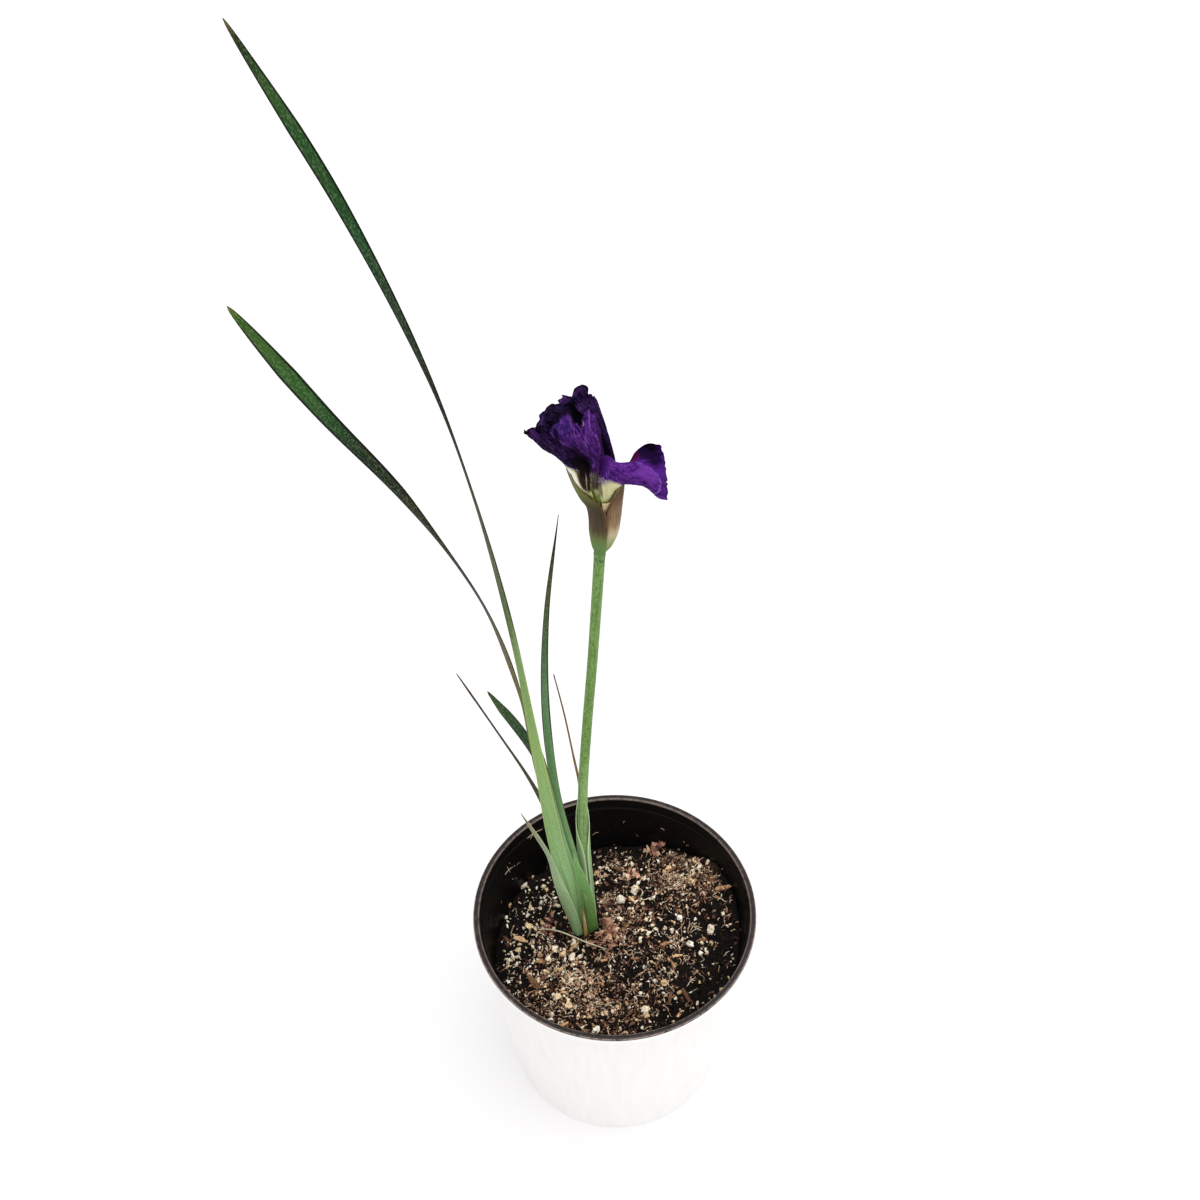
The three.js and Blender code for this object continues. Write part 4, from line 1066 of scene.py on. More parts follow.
outer_valve = wrapped_net(
    from_flower([(0.2, 0, -28.4), (0.7, 0, -24.5), (1.4, 0, -17), (2, 0, -8.5), (0.9, -0.2, 0),
                 (-2.4, -0.4, 6), (-5.6, -0.6, 12), (-8.6, -1.6, 18), (-11.2, -3, 24)]),
    [3.4, 4.9, 6.4, 7.1, 7.1, 6.8, 5.9, 4.4, 3], [75, 78, 80, 86, 96, 118, 136, 160, 186],
    [288, 285, 281, 279, 281, 280, 254, 222, 194], 90, 44)
sheet_piece("outer_valve", "spathe", spathe_finish(
    "outer_valve_olive", [(0.0, "587c44"), (0.16, "5e8046"), (0.25, "64703c"), (0.34, "55472f"),
                          (0.5, "443624"), (0.6, "463e22"), (0.68, "5a6034"), (0.8, "748446"),
                          (1.0, "66723a")],
    "241612", (0.22, 0.66), [(1, 0.06, 0.5, "1c1a10", 0.95), (1, 0.025, 0.3, "8a5a38", 0.7),
                             (-1, 0.08, 0.0, "a8a488", 0.5)],
    "a9a782"), outer_valve, 0.5, "spathe_outer")

inner_valve = wrapped_net(
    from_flower([(0.5, 0, -28.4), (1.4, 0, -24.5), (2.6, 0, -17), (3.2, 0, -8.5), (3.5, 0, -2),
                 (3.8, -0.2, 4), (4.1, -0.3, 8.5), (4.3, -0.4, 12.5)]),
    [2.4, 3.9, 5.3, 5.9, 6.2, 6.4, 6.5, 6.5], [-100, -100, -100, -101, -101, -90, -72, -50],
    [105, 104, 100, 92, 78, 58, 36, 10], 80, 36)
sheet_piece("inner_valve", "spathe", spathe_finish(
    "inner_valve_tan", [(0.0, "688a50"), (0.18, "84965e"), (0.32, "bcae8c"), (0.42, "8f7854"),
                        (0.58, "957a5c"), (0.8, "6c4c34"), (1.0, "6a4e30")],
    "4a3024", (0.38, 1.2), [(-1, 0.05, 0.35, "20160e", 0.95), (-1, 0.13, 0.4, "4c3628", 0.5),
                            (1, 0.08, 0.0, "a8946c", 0.5)],
    "cdbf98"), inner_valve, 0.5, "spathe_inner")

membrane = wrapped_net(
    from_flower([(0.6, 0, -20), (1.4, 0, -12), (1.9, 0, -4), (2.1, -0.1, 4.5)]),
    [3.4, 4.5, 4.9, 5.3], [-80, -86, -94, -104],
    [40, 20, -10, -52], 50, 24)
# Painted light: the membrane's cream is pushed near white, brighter than its own colour, so that it shows
# bright in the shade between the valves.
sheet_piece("membrane", "dry_leaf", spathe_finish(
    "membrane_cream", [(0.0, "c2c894"), (0.5, "f2e4bc"), (0.85, "faeed0"), (1.0, "f6deb0")],
    "d09a50", (0.5, 1.2), [(-1, 0.12, 0.3, "fdf6e0", 0.8), (1, 0.1, 0.0, "faf0d4", 0.8)],
    "e0d3ac"), membrane, 0.35, "inner_bract")


# Flower tube
# The short green foot of the bloom, on which the petals stand in a ring. It grows out of the
# ovary, in the mouth of the spathe, and is faintly lined along its length.
tube_finish = Finish("flower_tube_green", {"Specular IOR Level": 0.4})
tube_lines = tube_finish.noise((1200, 1200, 90), 3)
tube_finish.dress({
    "Base Color": tube_finish.ramp(tube_lines, [(0.3, "8fa24c"), (0.6, "b4c46c"), (0.8, "cfd08c")]),
    "Roughness": 0.4 + tube_lines * 0.2,
    "Normal": tube_finish.bump(tube_lines, 0.15),
})
tube_profile = [(0, -12.6), (1.9, -12.6), (2.1, -8), (2.4, -4), (3.5, 0), (0, 0)]
points, faces = turned(rounded(tube_profile, 0.3), 40)
flower_tube = piece("bloom_tube", "stem", [tube_finish], np.array(points) + flower_foot, faces)
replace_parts(flower_tube, "flower_tube")


# Petals
# Three falls and three standards of a half-closed bloom: soft violet petals, crumpled and
# frilled along their margins and painted dark as shade in their folds, each on a pale haft
# streaked with brown. Each petal's pair of violets is painted lighter or darker as the light
# falls on it in the bloom. They are fixed in a ring on the flower tube.
petal_ring = 3
petal_foot = 0.5


def dice(seed):
    """The same run of random numbers every time."""
    state = seed
    while True:
        state = (state * 1664525 + 1013904223) % 4294967296
        yield state / 4294967296


def foot_row(bearing, width, count):
    """Points of a petal's foot on the ring."""
    half = width / 2 / petal_ring
    angles = math.radians(bearing) + np.linspace(-half, half, count)
    return [(petal_ring * math.cos(angle), petal_ring * math.sin(angle), petal_foot) for angle in angles]


def noise_field(u, v, stretch, seed):
    """Smooth noise over a net."""
    return np.array([[noise.noise((a * stretch[0], b * stretch[1], seed)) for b in v] for a in u])


def turned_over(across):
    """How far along the right fall the band goes before its tip is turned back behind it."""
    return 0.82 - ((across - 0.45) * 0.57) ** 2


def petal(name, node, finish, net, ruffle, crumple, seed, pleats=0.5, frill=0.6, notches=1.2, curl=0.0,
          ledge=0.0, rows=96, columns=64):
    """A petal: rows of points from foot to margin, then waves, folds, pleats and a torn margin."""
    roll = dice(seed)
    u, v = np.linspace(0, 1, rows + 1), np.linspace(-1, 1, columns + 1)
    place = settle(np.array([settle(row, (v + 1) / 2) for row in net]), u)
    a, b = u[:, None], v[None, :]
    wave = ruffle * a * a * (0.35 + 0.65 * b * b) * np.sin(6 * math.pi * (b * 0.5 + a * 0.4) + seed)
    crossings = ((6.6, 2.2), (11.1, -4.6), (16.8, 6.2))
    creases = [np.sin(n * a + m * b + next(roll) * 6.28) / 3 for n, m in crossings]
    outward = place.copy()
    outward[..., 2] = 0
    place = place + unit(outward) * (crumple * a * sum(creases))[..., None]
    place[..., 2] += wave
    ahead = unit(np.gradient(place, axis=0))
    normal = unit(np.cross(np.gradient(place, axis=1), ahead))
    relief = pleats * a * noise_field(u, v, (2.0, 4.5), seed)
    relief = relief + 0.45 * pleats * a * noise_field(u, v, (5.0, 11.0), seed + 20)
    relief = relief + 0.12 * noise_field(u, v, (9.0, 34.0), seed + 40)
    relief = relief + 1.1 * pleats * a * np.abs(noise_field(u, v, (13.0, 4.0), seed + 70))
    beyond = a - turned_over(b)
    relief = relief - ledge * np.clip(beyond / 0.03, 0, 1) + ledge * 0.5 * np.exp(-(beyond / 0.08) ** 2)
    frills = frill * a ** 7 * np.sin(22 * b + 3 * noise_field(u, v, (1.0, 3.0), seed + 60))
    lip = curl * np.clip((a - 0.86) / 0.14, 0, 1) ** 2 * (0.6 + noise_field(u, v, (0.5, 2.5), seed + 90))
    place += normal * (relief + frills + lip)[..., None]
    torn = notches * a ** 8 * np.abs(noise_field(u, v, (0.5, 9.0), seed + 80)) * 2
    place -= ahead * torn[..., None]
    place += flower_foot
    sheet_piece(name, "petal", finish, place, 0.45 - 0.15 * a * np.ones_like(b), node)
    return place


def petal_finish(name, light, dark, haft_end, patches, haft_slant=0.0, lines=0.6, highlight_strength=0.3, tip=None):
    """Violet streaked along the petal, with painted shade in its creases and painted highlights on its
    ridges, and a cream haft at its foot, then patches of other colours: painted shade in the bloom's hollows
    and under the other petals, painted highlights on lit curls and margins, and some colours of the petal's
    own.

    A patch has its place on the petal (along, across), its reach each way, its lean, its colour
    and its strength. A tip turned back behind the band has a colour of its own, with a painted highlight
    along the fold and painted shade on the tip just beyond it.
    """
    finish = Finish(name, {"Roughness": 0.65, "Specular IOR Level": 0.02})
    along, across = finish.mark("along"), finish.mark("across")
    skin = finish.node("CombineXYZ", {}, {"X": along, "Y": across})
    broad = finish.noise((4, 5, 0), 3, skin)
    streaks = finish.noise((5, 15, 0), 4, skin)
    veins = finish.noise((7, 52, 0), 2, skin)
    folds = finish.noise((17, 4.5, 0), 4, skin, 1.2)
    specks = finish.noise((1900, 1900, 1900), 3)
    depth = broad * 0.25 + folds * 0.35 + streaks * 0.1 + specks * 0.3
    violet = finish.ramp(depth, [(0.42, dark), (0.52, light), (0.62, light)])
    violet = finish.mix(finish.step(veins, 0.5, 0.65) * 0.3 * lines, violet, dark)
    # Painted shade along the crease lines of the fold noise, and a painted highlight along its ridges.
    crease = 1 - finish.step(abs(folds - 0.44), 0.01, 0.05)
    violet = finish.mix(crease * 0.8 * lines, violet, dark)
    ridge_highlight = (1 - finish.step(abs(folds - 0.56), 0.005, 0.04)) * finish.step(streaks, 0.42, 0.58)
    violet = finish.mix(ridge_highlight * highlight_strength, violet, "8658a8")
    haft = finish.ramp(along, [
        (0.0, "9db048"), (haft_end * 0.3, "b4c06c"), (haft_end * 0.45, "c6c592"),
        (haft_end * 0.85, "d4d0a0"), (1.0, "efe9d4")])
    haft = finish.mix(finish.step(veins * 0.4 + folds * 0.6, 0.5, 0.66) * lines * 0.5, haft, "8a7a58")
    brushed = along - across * haft_slant + (veins - 0.5) * 0.05
    colour = finish.mix(finish.step(brushed, haft_end - 0.02, haft_end + 0.03), haft, violet)
    if tip:
        beyond = along - turned_over(across) + (veins - 0.5) * 0.02
        streaked_tip = finish.mix(finish.step(streaks, 0.45, 0.62) * 0.6, tip, light)
        colour = finish.mix(finish.step(beyond, -0.01, 0.015), colour, streaked_tip)
        # Painted highlight along the fold's edge, and painted shade on the tip just beyond it.
        fold_highlight = (1 - finish.step(abs(beyond + 0.02), 0.004, 0.022)) * finish.step(folds, 0.4, 0.6)
        colour = finish.mix(fold_highlight * 0.35, colour, "9470bc")
        colour = finish.mix((1 - finish.step(abs(beyond - 0.03), 0.01, 0.04)) * 0.6, colour, "160726")
    for (u, v), (long, wide), lean, code, strength in patches:
        ahead, aside = (along - u), (across - v) - (along - u) * lean
        reach = (ahead * (1 / long)) ** 2 + (aside * (1 / wide)) ** 2 + (streaks - 0.5) * 1.6
        colour = finish.mix((1 - finish.step(reach, 0.35, 1.1)) * strength, colour, code)
    edge = finish.step(finish.node("Math", {"operation": "MAXIMUM"}, {0: along, 1: abs(across)}), 0.95, 0.985)
    edge = edge * finish.step(along, haft_end, haft_end + 0.1)
    finish.dress({
        "Base Color": finish.mix(edge * 0.85, colour, "0e0616"),
        "Normal": finish.bump(folds * 0.5 + streaks * 0.3 + specks * 0.2, 0.6),
    })
    return finish


# Painted shade: the near-black patches on the turned-back tip and at its notch. Painted highlights: the paler
# violet patches on the band and the tip's margin, and the magenta one at the band's far edge.
fall_right = petal(
    "right_fall", "fall_right", petal_finish("right_fall_violet", "52217a", "300e4a", 0.2, [
        ((0.32, -0.45), (0.1, 0.6), 0, "340f52", 0.8), ((0.66, 0.2), (0.12, 0.5), 0, "6a3290", 0.6),
        ((0.78, -0.85), (0.16, 0.55), 0.5, "1a092c", 0.95), ((0.8, -0.98), (0.07, 0.3), 0, "08040e", 0.9),
        ((0.6, -0.95), (0.1, 0.3), 0, "521238", 0.9), ((0.83, 0.75), (0.03, 0.16), 0, "0a0412", 0.9),
        ((0.95, 0.3), (0.05, 0.5), 0, "4a2270", 0.6), ((0.9, 0.9), (0.12, 0.1), 0, "5c3088", 0.6),
        ((0.17, -0.85), (0.08, 0.3), 0, "2c1714", 0.7), ((0.1, 0.75), (0.08, 0.3), 0, "c9a676", 0.5)],
        haft_slant=0.03, lines=0.5, highlight_strength=0.45, tip="471c74"), [
        foot_row(-33, 3.2, 4),
        [(0.4, -6.3, 10), (2.6, -6.4, 9.5), (5, -5, 9), (6.4, -2, 8.5)],
        [(-0.6, -6.6, 21.8), (1.9, -9.4, 22.8), (4.9, -9.8, 21.6), (9.3, -7, 16.7)],
        [(0.8, -6.2, 30.5), (2.8, -7.4, 33.4), (5.8, -10.5, 28.5), (11.8, -8.5, 18.5)],
        [(6, 0.5, 21.1), (8.1, -6, 28.1), (10.1, -10, 26.2), (15.2, -9.5, 19)],
        [(11.3, 3.6, 19.8), (15, -4, 25.6), (16.1, -9, 24.3), (18.7, -9.5, 18)],
        [(15.4, 5, 25.2), (20.7, -2, 23.1), (21.3, -7.5, 21.3), (21.7, -8.5, 14.7)],
        [(20.6, 4.2, 29.6), (24.9, 0, 19.8), (25.3, -5, 16.7), (24.5, -7, 9.7)],
        [(24.9, 3, 29.7), (27.9, 1, 21.1), (28.3, -3, 13.6), (27.2, -5.5, 6.2)],
        [(26.2, 2, 29.1), (29.3, 1, 19.3), (30.3, -2, 11.5), (30.3, -4.5, 4.3)]],
    ruffle=0.5, crumple=0.4, seed=3, frill=0.4, notches=0.5, ledge=1.2, rows=150)

# The left fall faces away from the light, so its violet is painted dark as shade; its black patches are
# painted shade under the front standard and in its hollows, and its lighter violet patch on the tip is a
# painted highlight.
fall_left = petal(
    "left_fall", "fall_left", petal_finish("left_fall_violet", "200f35", "0c0516", 0.46, [
        ((0.52, 0.55), (0.13, 0.75), 0, "060309", 0.97), ((0.93, -0.5), (0.1, 0.3), 0, "47235f", 0.55),
        ((0.99, -0.75), (0.06, 0.28), 0, "080410", 0.9),
        ((0.95, -0.1), (0.04, 0.25), 0, "060309", 0.9), ((0.37, 0.5), (0.2, 0.8), 0, "150b08", 0.98),
        ((0.34, 0.55), (0.14, 0.05), 0.5, "9c8a88", 0.8), ((0.27, -0.75), (0.24, 0.42), 0, "fbf9f0", 0.95),
        ((0.48, 0.0), (0.03, 0.4), 0, "3a2440", 0.6)],
        lines=0.6, highlight_strength=0.3), [
        foot_row(205, 3.2, 3),
        [(-5.8, -1.5, 6.9), (-5.2, -4.6, 9.4), (-3.1, -6.1, 10.1)],
        [(-9.4, -4, 14.6), (-7.4, -7.2, 16.2), (-4.2, -7.4, 15.7)],
        [(-12.5, -7, 26), (-10.4, -9.3, 26.5), (-7.4, -9.7, 24.8), (-4, -7.8, 22.4)],
        [(-17.5, -9.5, 35.4), (-14.7, -12, 36.1), (-9.7, -11.4, 34.3), (-4.5, -8, 31.1)],
        [(-23.1, -11, 41), (-19.4, -14, 45.1), (-13.7, -12.5, 43.1), (-6.6, -8.6, 38.4)],
        [(-27.7, -12, 46.9), (-24.1, -14.5, 50.8), (-19.3, -13.5, 48.4), (-12.4, -9, 43.9)],
        [(-30.7, -11.5, 52.6), (-27, -13, 55.2), (-23, -12.5, 56), (-16.6, -8.6, 52)]],
    ruffle=0.6, crumple=0.7, seed=5, pleats=0.7, notches=0.6, curl=0.5)

# The back fall's violet is painted dark as shade inside the bloom; its black patch is painted shade in the
# bloom's hollow, and its lighter patches at the margin are painted highlights on lit curls.
petal(
    "back_fall", "fall_back", petal_finish("back_fall_violet", "3e285b", "0f091a", 0.2, [
        ((0.96, 0.02), (0.06, 0.17), 0, "48275e", 0.75), ((0.97, -0.66), (0.05, 0.12), 0, "402458", 0.7),
        ((0.64, 0.0), (0.22, 0.4), 0, "030205", 0.95), ((0.94, -0.3), (0.05, 0.16), 0, "20143a", 0.8),
        ((0.82, 0.42), (0.14, 0.08), 1, "1e163c", 0.8)],
        highlight_strength=0.15), [
        foot_row(87, 3, 4),
        [(2.6, 6.2, 12), (0.4, 6.8, 11), (-2, 6.6, 11), (-4.2, 5.3, 12)],
        [(3, 11.5, 25), (-3, 13, 26), (-9, 11, 27), (-12.6, 5, 28)],
        [(1.3, 14, 35.2), (-3.8, 16, 38.2), (-10.3, 14, 40), (-16.7, 8, 39.6), (-20.5, 1, 39.5)],
        [(-1.6, 15, 42.2), (-7.1, 17, 45.2), (-12.2, 14, 45.6), (-18.3, 8, 44.1), (-22.8, -2, 45.4)],
        [(-4.5, 14.5, 48.7), (-7.5, 16, 53.3), (-11.1, 15, 48.8), (-14, 12.5, 51.1), (-15.8, 9, 48.9),
         (-20.2, 5, 49.3), (-24.2, 0, 49.2), (-26.6, -6, 47)]],
    ruffle=0.6, crumple=0.6, seed=7, curl=1.6)

# The front standard's pale lilac patches are painted highlights on its curled margin and folds, and its
# near-black ones are painted shade in the curls.
petal(
    "front_standard", "standard_front", petal_finish("front_standard_violet", "512076", "1e0a32", 0.37, [
        ((0.9, -0.6), (0.14, 0.35), 0, "2c2060", 0.5), ((0.82, -0.92), (0.14, 0.08), 0.8, "0b0416", 0.9),
        ((0.84, 0.05), (0.13, 0.05), -0.6, "100520", 0.9), ((0.96, 0.36), (0.05, 0.07), 1, "a680bc", 0.7),
        ((0.9, 0.66), (0.1, 0.04), 0.8, "7c4fa0", 0.6), ((0.76, -0.3), (0.12, 0.04), 1.2, "7c4fa0", 0.5),
        ((0.92, -0.25), (0.07, 0.05), 0.6, "6c4698", 0.5), ((0.62, -0.8), (0.12, 0.2), 0, "14071f", 0.8),
        ((0.86, 0.3), (0.1, 0.1), 0, "2a1046", 0.6), ((0.7, 0.5), (0.14, 0.2), 0, "3c1a5c", 0.5),
        ((0.66, -0.35), (0.12, 0.4), 0, "2c1048", 0.5), ((0.52, 0.0), (0.08, 0.9), 0, "280e42", 0.5),
        ((0.3, 0.0), (0.14, 1.6), 0, "1c0f0e", 0.92), ((0.33, 0.1), (0.08, 0.3), 0, "6a4a6c", 0.8)],
        lines=0.9, highlight_strength=0.6), [
        foot_row(262, 1.8, 3),
        [(-2.1, -4.1, 10), (-0.9, -4.4, 10), (0.2, -4.1, 10)],
        [(-3.2, -6.2, 15.8), (-2.2, -6.8, 16.3), (-1.2, -6.2, 15.7)],
        [(-2.9, -9, 25.2), (-1.7, -9.4, 25.5), (-0.5, -8.8, 24.9)],
        [(-3.8, -10.6, 34.5), (-2.1, -11.2, 35.5), (0.1, -9.7, 34.1)],
        [(-9.1, -13.6, 42.8), (-6.1, -14, 43.8), (-3, -12.8, 42.7), (0.3, -9.7, 39.7)],
        [(-15.2, -15.6, 47.9), (-11.3, -16.6, 51.6), (-7.6, -16, 51), (-3.9, -13.4, 49.2),
         (-0.6, -9.6, 45.6)],
        [(-18.9, -15.8, 52.5), (-15.2, -16, 57.3), (-11.9, -15.6, 58), (-8.8, -14.4, 54.2),
         (-5.9, -13.2, 54.7), (-3.7, -11, 56.5), (-1.4, -9, 52.7)],
        [(-20.2, -15.4, 54.9), (-17.6, -14.5, 58.5), (-13.8, -13, 63.5), (-10.7, -12, 56.8),
         (-7.7, -12, 55.6), (-4.8, -10, 63.9), (-2.4, -8, 58.3)]],
    ruffle=0.8, crumple=0.5, seed=9, pleats=1.3, curl=1.2)

# The right standard's black patch is painted shade in the hollow of the bloom.
petal(
    "right_standard", "standard_right", petal_finish("right_standard_violet", "503271", "221535", 0.2, [
        ((0.92, -0.2), (0.1, 0.6), 0, "3a2054", 0.8), ((0.68, -0.8), (0.25, 0.12), 0, "301c4c", 0.8),
        ((0.42, 0.1), (0.12, 0.5), 0, "050208", 0.9)],
        highlight_strength=0.4), [
        foot_row(25, 1.9, 3),
        [(5.2, 2, 12), (3.6, 4.2, 11.5), (1.2, 5, 12)],
        [(6.9, 3.6, 21.5), (4.4, 7, 22), (0.4, 8.5, 24)],
        [(4.2, 6.6, 34), (1, 10, 36), (-5, 11.6, 38)],
        [(0.7, 8, 47.3), (-2.4, 11, 47.1), (-5.8, 12, 45.3), (-8.9, 11, 44.1)],
        [(-1.3, 8, 53.8), (-3.1, 10, 53.1), (-4.9, 12, 50.5), (-7.5, 12, 48.6), (-10.1, 10, 47.6)]],
    ruffle=0.5, crumple=0.4, seed=11)

# The left standard's violet is painted near black as shade inside the bloom.
petal(
    "left_standard", "standard_left", petal_finish("left_standard_violet", "20122e", "0a0510", 0.2, [
        ((0.88, -0.3), (0.12, 0.22), 0, "241a48", 0.7)], highlight_strength=0.1), [
        foot_row(147, 1.8, 3),
        [(-3.4, 4.5, 12), (-4.8, 3, 12), (-5.4, 0.8, 12)],
        [(-6, 7.4, 26), (-8.6, 4.8, 27), (-10, 0.5, 28)],
        [(-10.7, 9, 41.9), (-14, 6, 43.9), (-17.8, 0, 45.7)],
        [(-12.2, 9, 46.3), (-15.1, 6, 48.9), (-18.9, 2, 49.5), (-20.6, -2, 49.1)],
        [(-13.4, 9, 48.8), (-16.3, 7, 50.5), (-20.5, 3, 50.9), (-22.6, -2, 51.3)]],
    ruffle=0.6, crumple=0.4, seed=13)


# Hairs of the hafts
# A fringe of short white hairs stands along the border between the violet and the pale haft
# of the two falls that face the viewer, and leans up over the violet.
hair_length = 1.3
hair_radii = [0.05, 0.04, 0.01]
hairs = []
fringes = [(fall_right, ((0.2, -0.95), (0.21, 0.5)), 170), (fall_left, ((0.46, -1), (0.47, 0.3)), 90)]
for sheet, stretch, count in fringes:
    ahead, aside = unit(np.gradient(sheet, axis=0)), unit(np.gradient(sheet, axis=1))
    for _ in range(count):
        t = chance.random()
        u, v = [start + (end - start) * t for start, end in zip(*stretch)]
        u += chance.gauss(0, 0.008)
        i, j = round(u * (len(sheet) - 1)), round((v + 1) / 2 * (sheet.shape[1] - 1))
        normal = np.cross(aside[i, j], ahead[i, j])
        normal *= -1 if normal @ (0, -1, 0.9) < 0 else 1
        lean = ahead[i, j] + aside[i, j] * chance.gauss(-0.45, 0.12) + normal * chance.uniform(0.1, 0.35)
        run = [sheet[i, j] + normal * 0.15 + lean * reach + normal * reach * reach * 0.06
               for reach in np.linspace(-0.4, hair_length * chance.uniform(0.2, 1), 5)]
        hairs.append(tube(run, settle(hair_radii, np.linspace(0, 1, 5)), 3, viewer))
points, faces, _ = joined(hairs)
hair_finish = Finish("haft_hair", {"Roughness": 0.6})
hair_shine = hair_finish.noise((2500, 2500, 2500), 2)
hair_finish.dress({"Base Color": hair_finish.ramp(hair_shine, [(0.35, "d9d2c4"), (0.65, "fbf8f0")])})
piece("haft_fringe", "petal", [hair_finish], points, faces)


# Style and stamens
# A short column in the middle of the bloom opens into three violet arms, one over each
# fall, and under each arm stands a pale filament with its anther.
fall_bearings = [-35, 205, 85]
style_top = 11


def around(bearing, reach, z, aside=0.0):
    """A point of the bloom by its bearing and reach from the axis."""
    c, s = math.cos(math.radians(bearing)), math.sin(math.radians(bearing))
    return flower_foot + np.array([reach * c - aside * s, reach * s + aside * c, z])


arms = [tube([around(0, 0, z) for z in np.linspace(clearance, style_top, 12)], 0.85, 20, viewer)]
for bearing in fall_bearings:
    rows = [[around(bearing, reach, z - 0.2 * abs(side), side * span / 2) for side in (-1, 0, 1)]
            for reach, z, span in ((0.5, 4, 1.2), (1.1, 8, 2), (2.3, 13, 2.8), (4, 18, 3.2))]
    u, v = np.linspace(0, 1, 31), np.linspace(0, 1, 11)
    arms.append(thin_sheet(settle(np.array([settle(row, v) for row in rows]), u), 0.5))
points, faces, _ = joined(arms)
style_finish = lined_finish(
    "style_violet", {"Roughness": 0.5}, (900, 900, 200), 3,
    [(0.3, "4a2a78"), (0.6, "7a58b0"), (0.8, "a68ccc")], 0.15)
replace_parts(piece("style_arms", "petal", [style_finish], points, faces), "style")

anther_finish = lined_finish(
    "anther_cream", {"Roughness": 0.7}, (3000, 3000, 1200), 3,
    [(0.3, "a89868"), (0.6, "d8cba0"), (0.8, "efe6c4")], 0.15)
filament = [(1.75, clearance), (2.4, 6), (3.6, 11), (5.2, 16)]
for i, bearing in enumerate(fall_bearings):
    run = smooth_run([around(bearing, reach, z) for reach, z in filament], 40)
    radii = settle([0.36, 0.34, 0.4, 0.66, 0.4], np.linspace(0, 1, 41))
    stamen = piece(f"filament_{i + 1}", "anther", [anther_finish], *tube(run, radii, 12, viewer))
    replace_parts(stamen, f"stamen_{i + 1}")


# Root hair and husks at the foot
# A dry pale root lies in an arc over the soil in front of the fan, and scraps of old brown
# sheath cling round the foot of the shoots.
husk_thickness = 0.25
root_run = smooth_run([
    (-51.2, 14.3, 101.4), (-45.5, 13.9, 104.2), (-39.3, 11.9, 107), (-33.1, 8.7, 109.6), (-25.3, 4.5, 110.6),
    (-16.4, -1.9, 113.6), (-10.8, -4.5, 114.2), (-5.4, -6.6, 113.8)], 80)
root_finish = lined_finish(
    "dry_root", {"Roughness": 0.7}, (900, 900, 900), 3,
    [(0.3, "a89e80"), (0.6, "d6cfb2"), (0.8, "efe9d4")], 0.1)
root_radii = settle([0.14, 0.36, 0.44, 0.46, 0.44, 0.38, 0.18], np.linspace(0, 1, 81))
piece("dry_root", "potting_mix", [root_finish], *tube(root_run, root_radii, 10))


def husk(x, y, z, heading, stand, length, width):
    """A ragged, curled scrap of sheath that stands up from the soil, or lies on it."""
    net = np.zeros((10, 7, 3))
    start = chance.uniform(0, 50)
    for i, s in enumerate(np.linspace(0, 1, 10)):
        for j, across in enumerate(np.linspace(-1, 1, 7)):
            rag = 0.3 * noise.noise((across * 3, start, s))
            half = width / 2 * math.sin(math.pi * (0.22 + 0.72 * s)) ** 0.8
            cup = 0.22 * width * across * across + 0.8 * noise.noise((s * 2.5, across * 1.6, start))
            net[i, j] = (s * (1 + rag) * length, across * half, cup)
    turn = Euler((0, -stand, heading)).to_matrix()
    return thin_sheet(net @ np.array(turn).T + (x, y, z), husk_thickness)


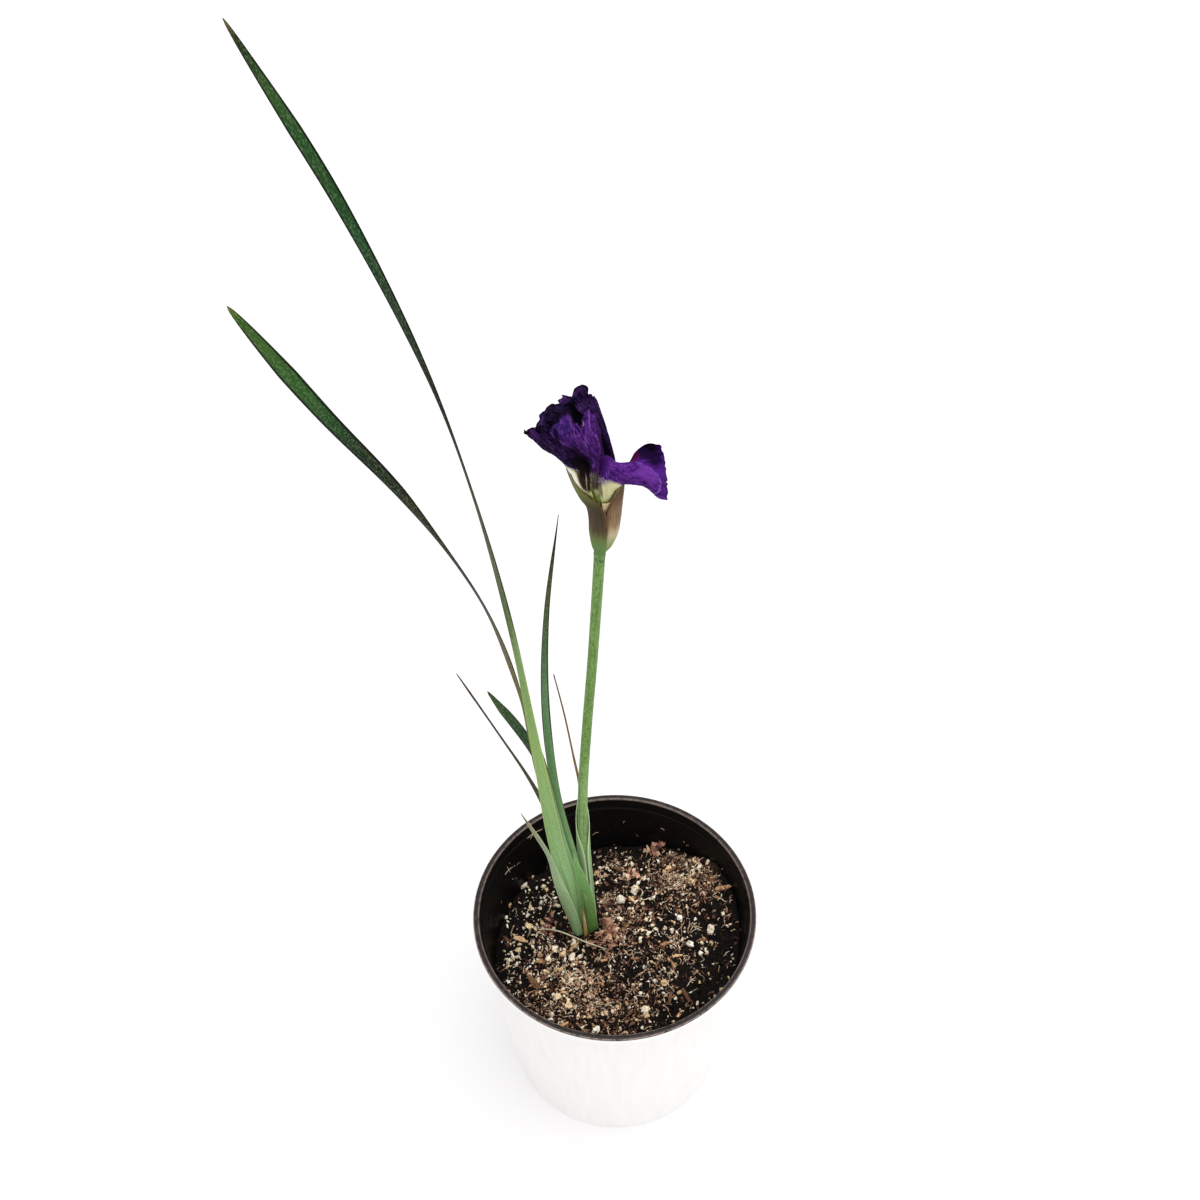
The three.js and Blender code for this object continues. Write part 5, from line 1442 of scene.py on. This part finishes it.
shoots_front = (-12.7, 8.2)
husk_ring = (5.8, 5.2)
husk_root = 1.5
standing_husks = 44
husks_in_heap = 28
husk_heaps = [(-40, 15, 2.3, 0.5), (27, 65, 2, 0.2), (11, 48, 1.8, 0), (-3, 1, 2.5, 0.2)]
husks, tones = [], []
for _ in range(standing_husks):
    bearing = chance.uniform(-1.9, 0.9)
    reach = 1 + 0.7 * chance.random()
    x = shoots_front[0] + husk_ring[0] * reach * math.cos(bearing)
    y = shoots_front[1] + husk_ring[1] * reach * math.sin(bearing)
    length, stand = chance.uniform(6, 12) / reach, chance.uniform(0.8, 1.4) / reach
    heading = bearing + chance.gauss(0, 0.4)
    husks.append(husk(x, y, soil_lie(x, y) - husk_root, heading, stand, length, chance.uniform(3, 5)))
    tones.append(chance.uniform(0.2, 0.9))
for centre_x, centre_y, spread, darkness in husk_heaps:
    for _ in range(husks_in_heap):
        x, y = chance.gauss(centre_x, spread), chance.gauss(centre_y, spread)
        heading = chance.uniform(0, 6.28)
        z = soil_lie(x, y) + chance.uniform(-0.5, 1.5)
        stand, length, width = chance.uniform(0, 1), chance.uniform(2, 4.5), chance.uniform(1.4, 3)
        husks.append(husk(x, y, z, heading, stand, length, width))
        tones.append(chance.uniform(0, 1) * (1 - darkness))
husk_finish = shaded_finish(
    "brown_husk", {"Roughness": 0.75}, (1100, 1100, 400), 4, (0.7, 0.6),
    [(0.3, "2a1511"), (0.48, "74463a"), (0.66, "b8846c"), (0.9, "f0cfae")], 0.3)
scatter("foot_husks", "dry_leaf", husk_finish, husks, tones, smooth=True)


# Table and light
# A white table lit from within, as product pictures are taken on: even light from all round
# and one broad soft light from above on the right.
table_gap = 0.2
table_mesh = bpy.data.meshes.new("table")
half = 4000 * mm
corners = [(-half, -half, 0), (half, -half, 0), (half, half, 0), (-half, half, 0)]
table_mesh.from_pydata(corners, [], [(0, 1, 2, 3)])
table = bpy.data.objects.new("table", table_mesh)
table.location.z = -table_gap * mm
table_finish = Finish("white_table", {
    "Base Color": (0.45, 0.44, 0.44, 1), "Roughness": 0.9, "Specular IOR Level": 0.0,
    "Emission Color": (1, 1, 1, 1), "Emission Strength": 0.44})
table_mesh.materials.append(table_finish.material)
bpy.context.scene.collection.objects.link(table)

room = bpy.data.worlds.new("room")
room.use_nodes = True
room.node_tree.nodes["Background"].inputs["Color"].default_value = (1, 1, 1, 1)
room.node_tree.nodes["Background"].inputs["Strength"].default_value = 0.8
bpy.context.scene.world = room

sun = bpy.data.lights.new("window", "SUN")
sun.energy = 2.2
sun.angle = math.radians(60)
window = bpy.data.objects.new("window", sun)
window.rotation_euler = (math.radians(6), math.radians(13), 0)
bpy.context.scene.collection.objects.link(window)
bpy.context.scene.view_settings.view_transform = "Standard"
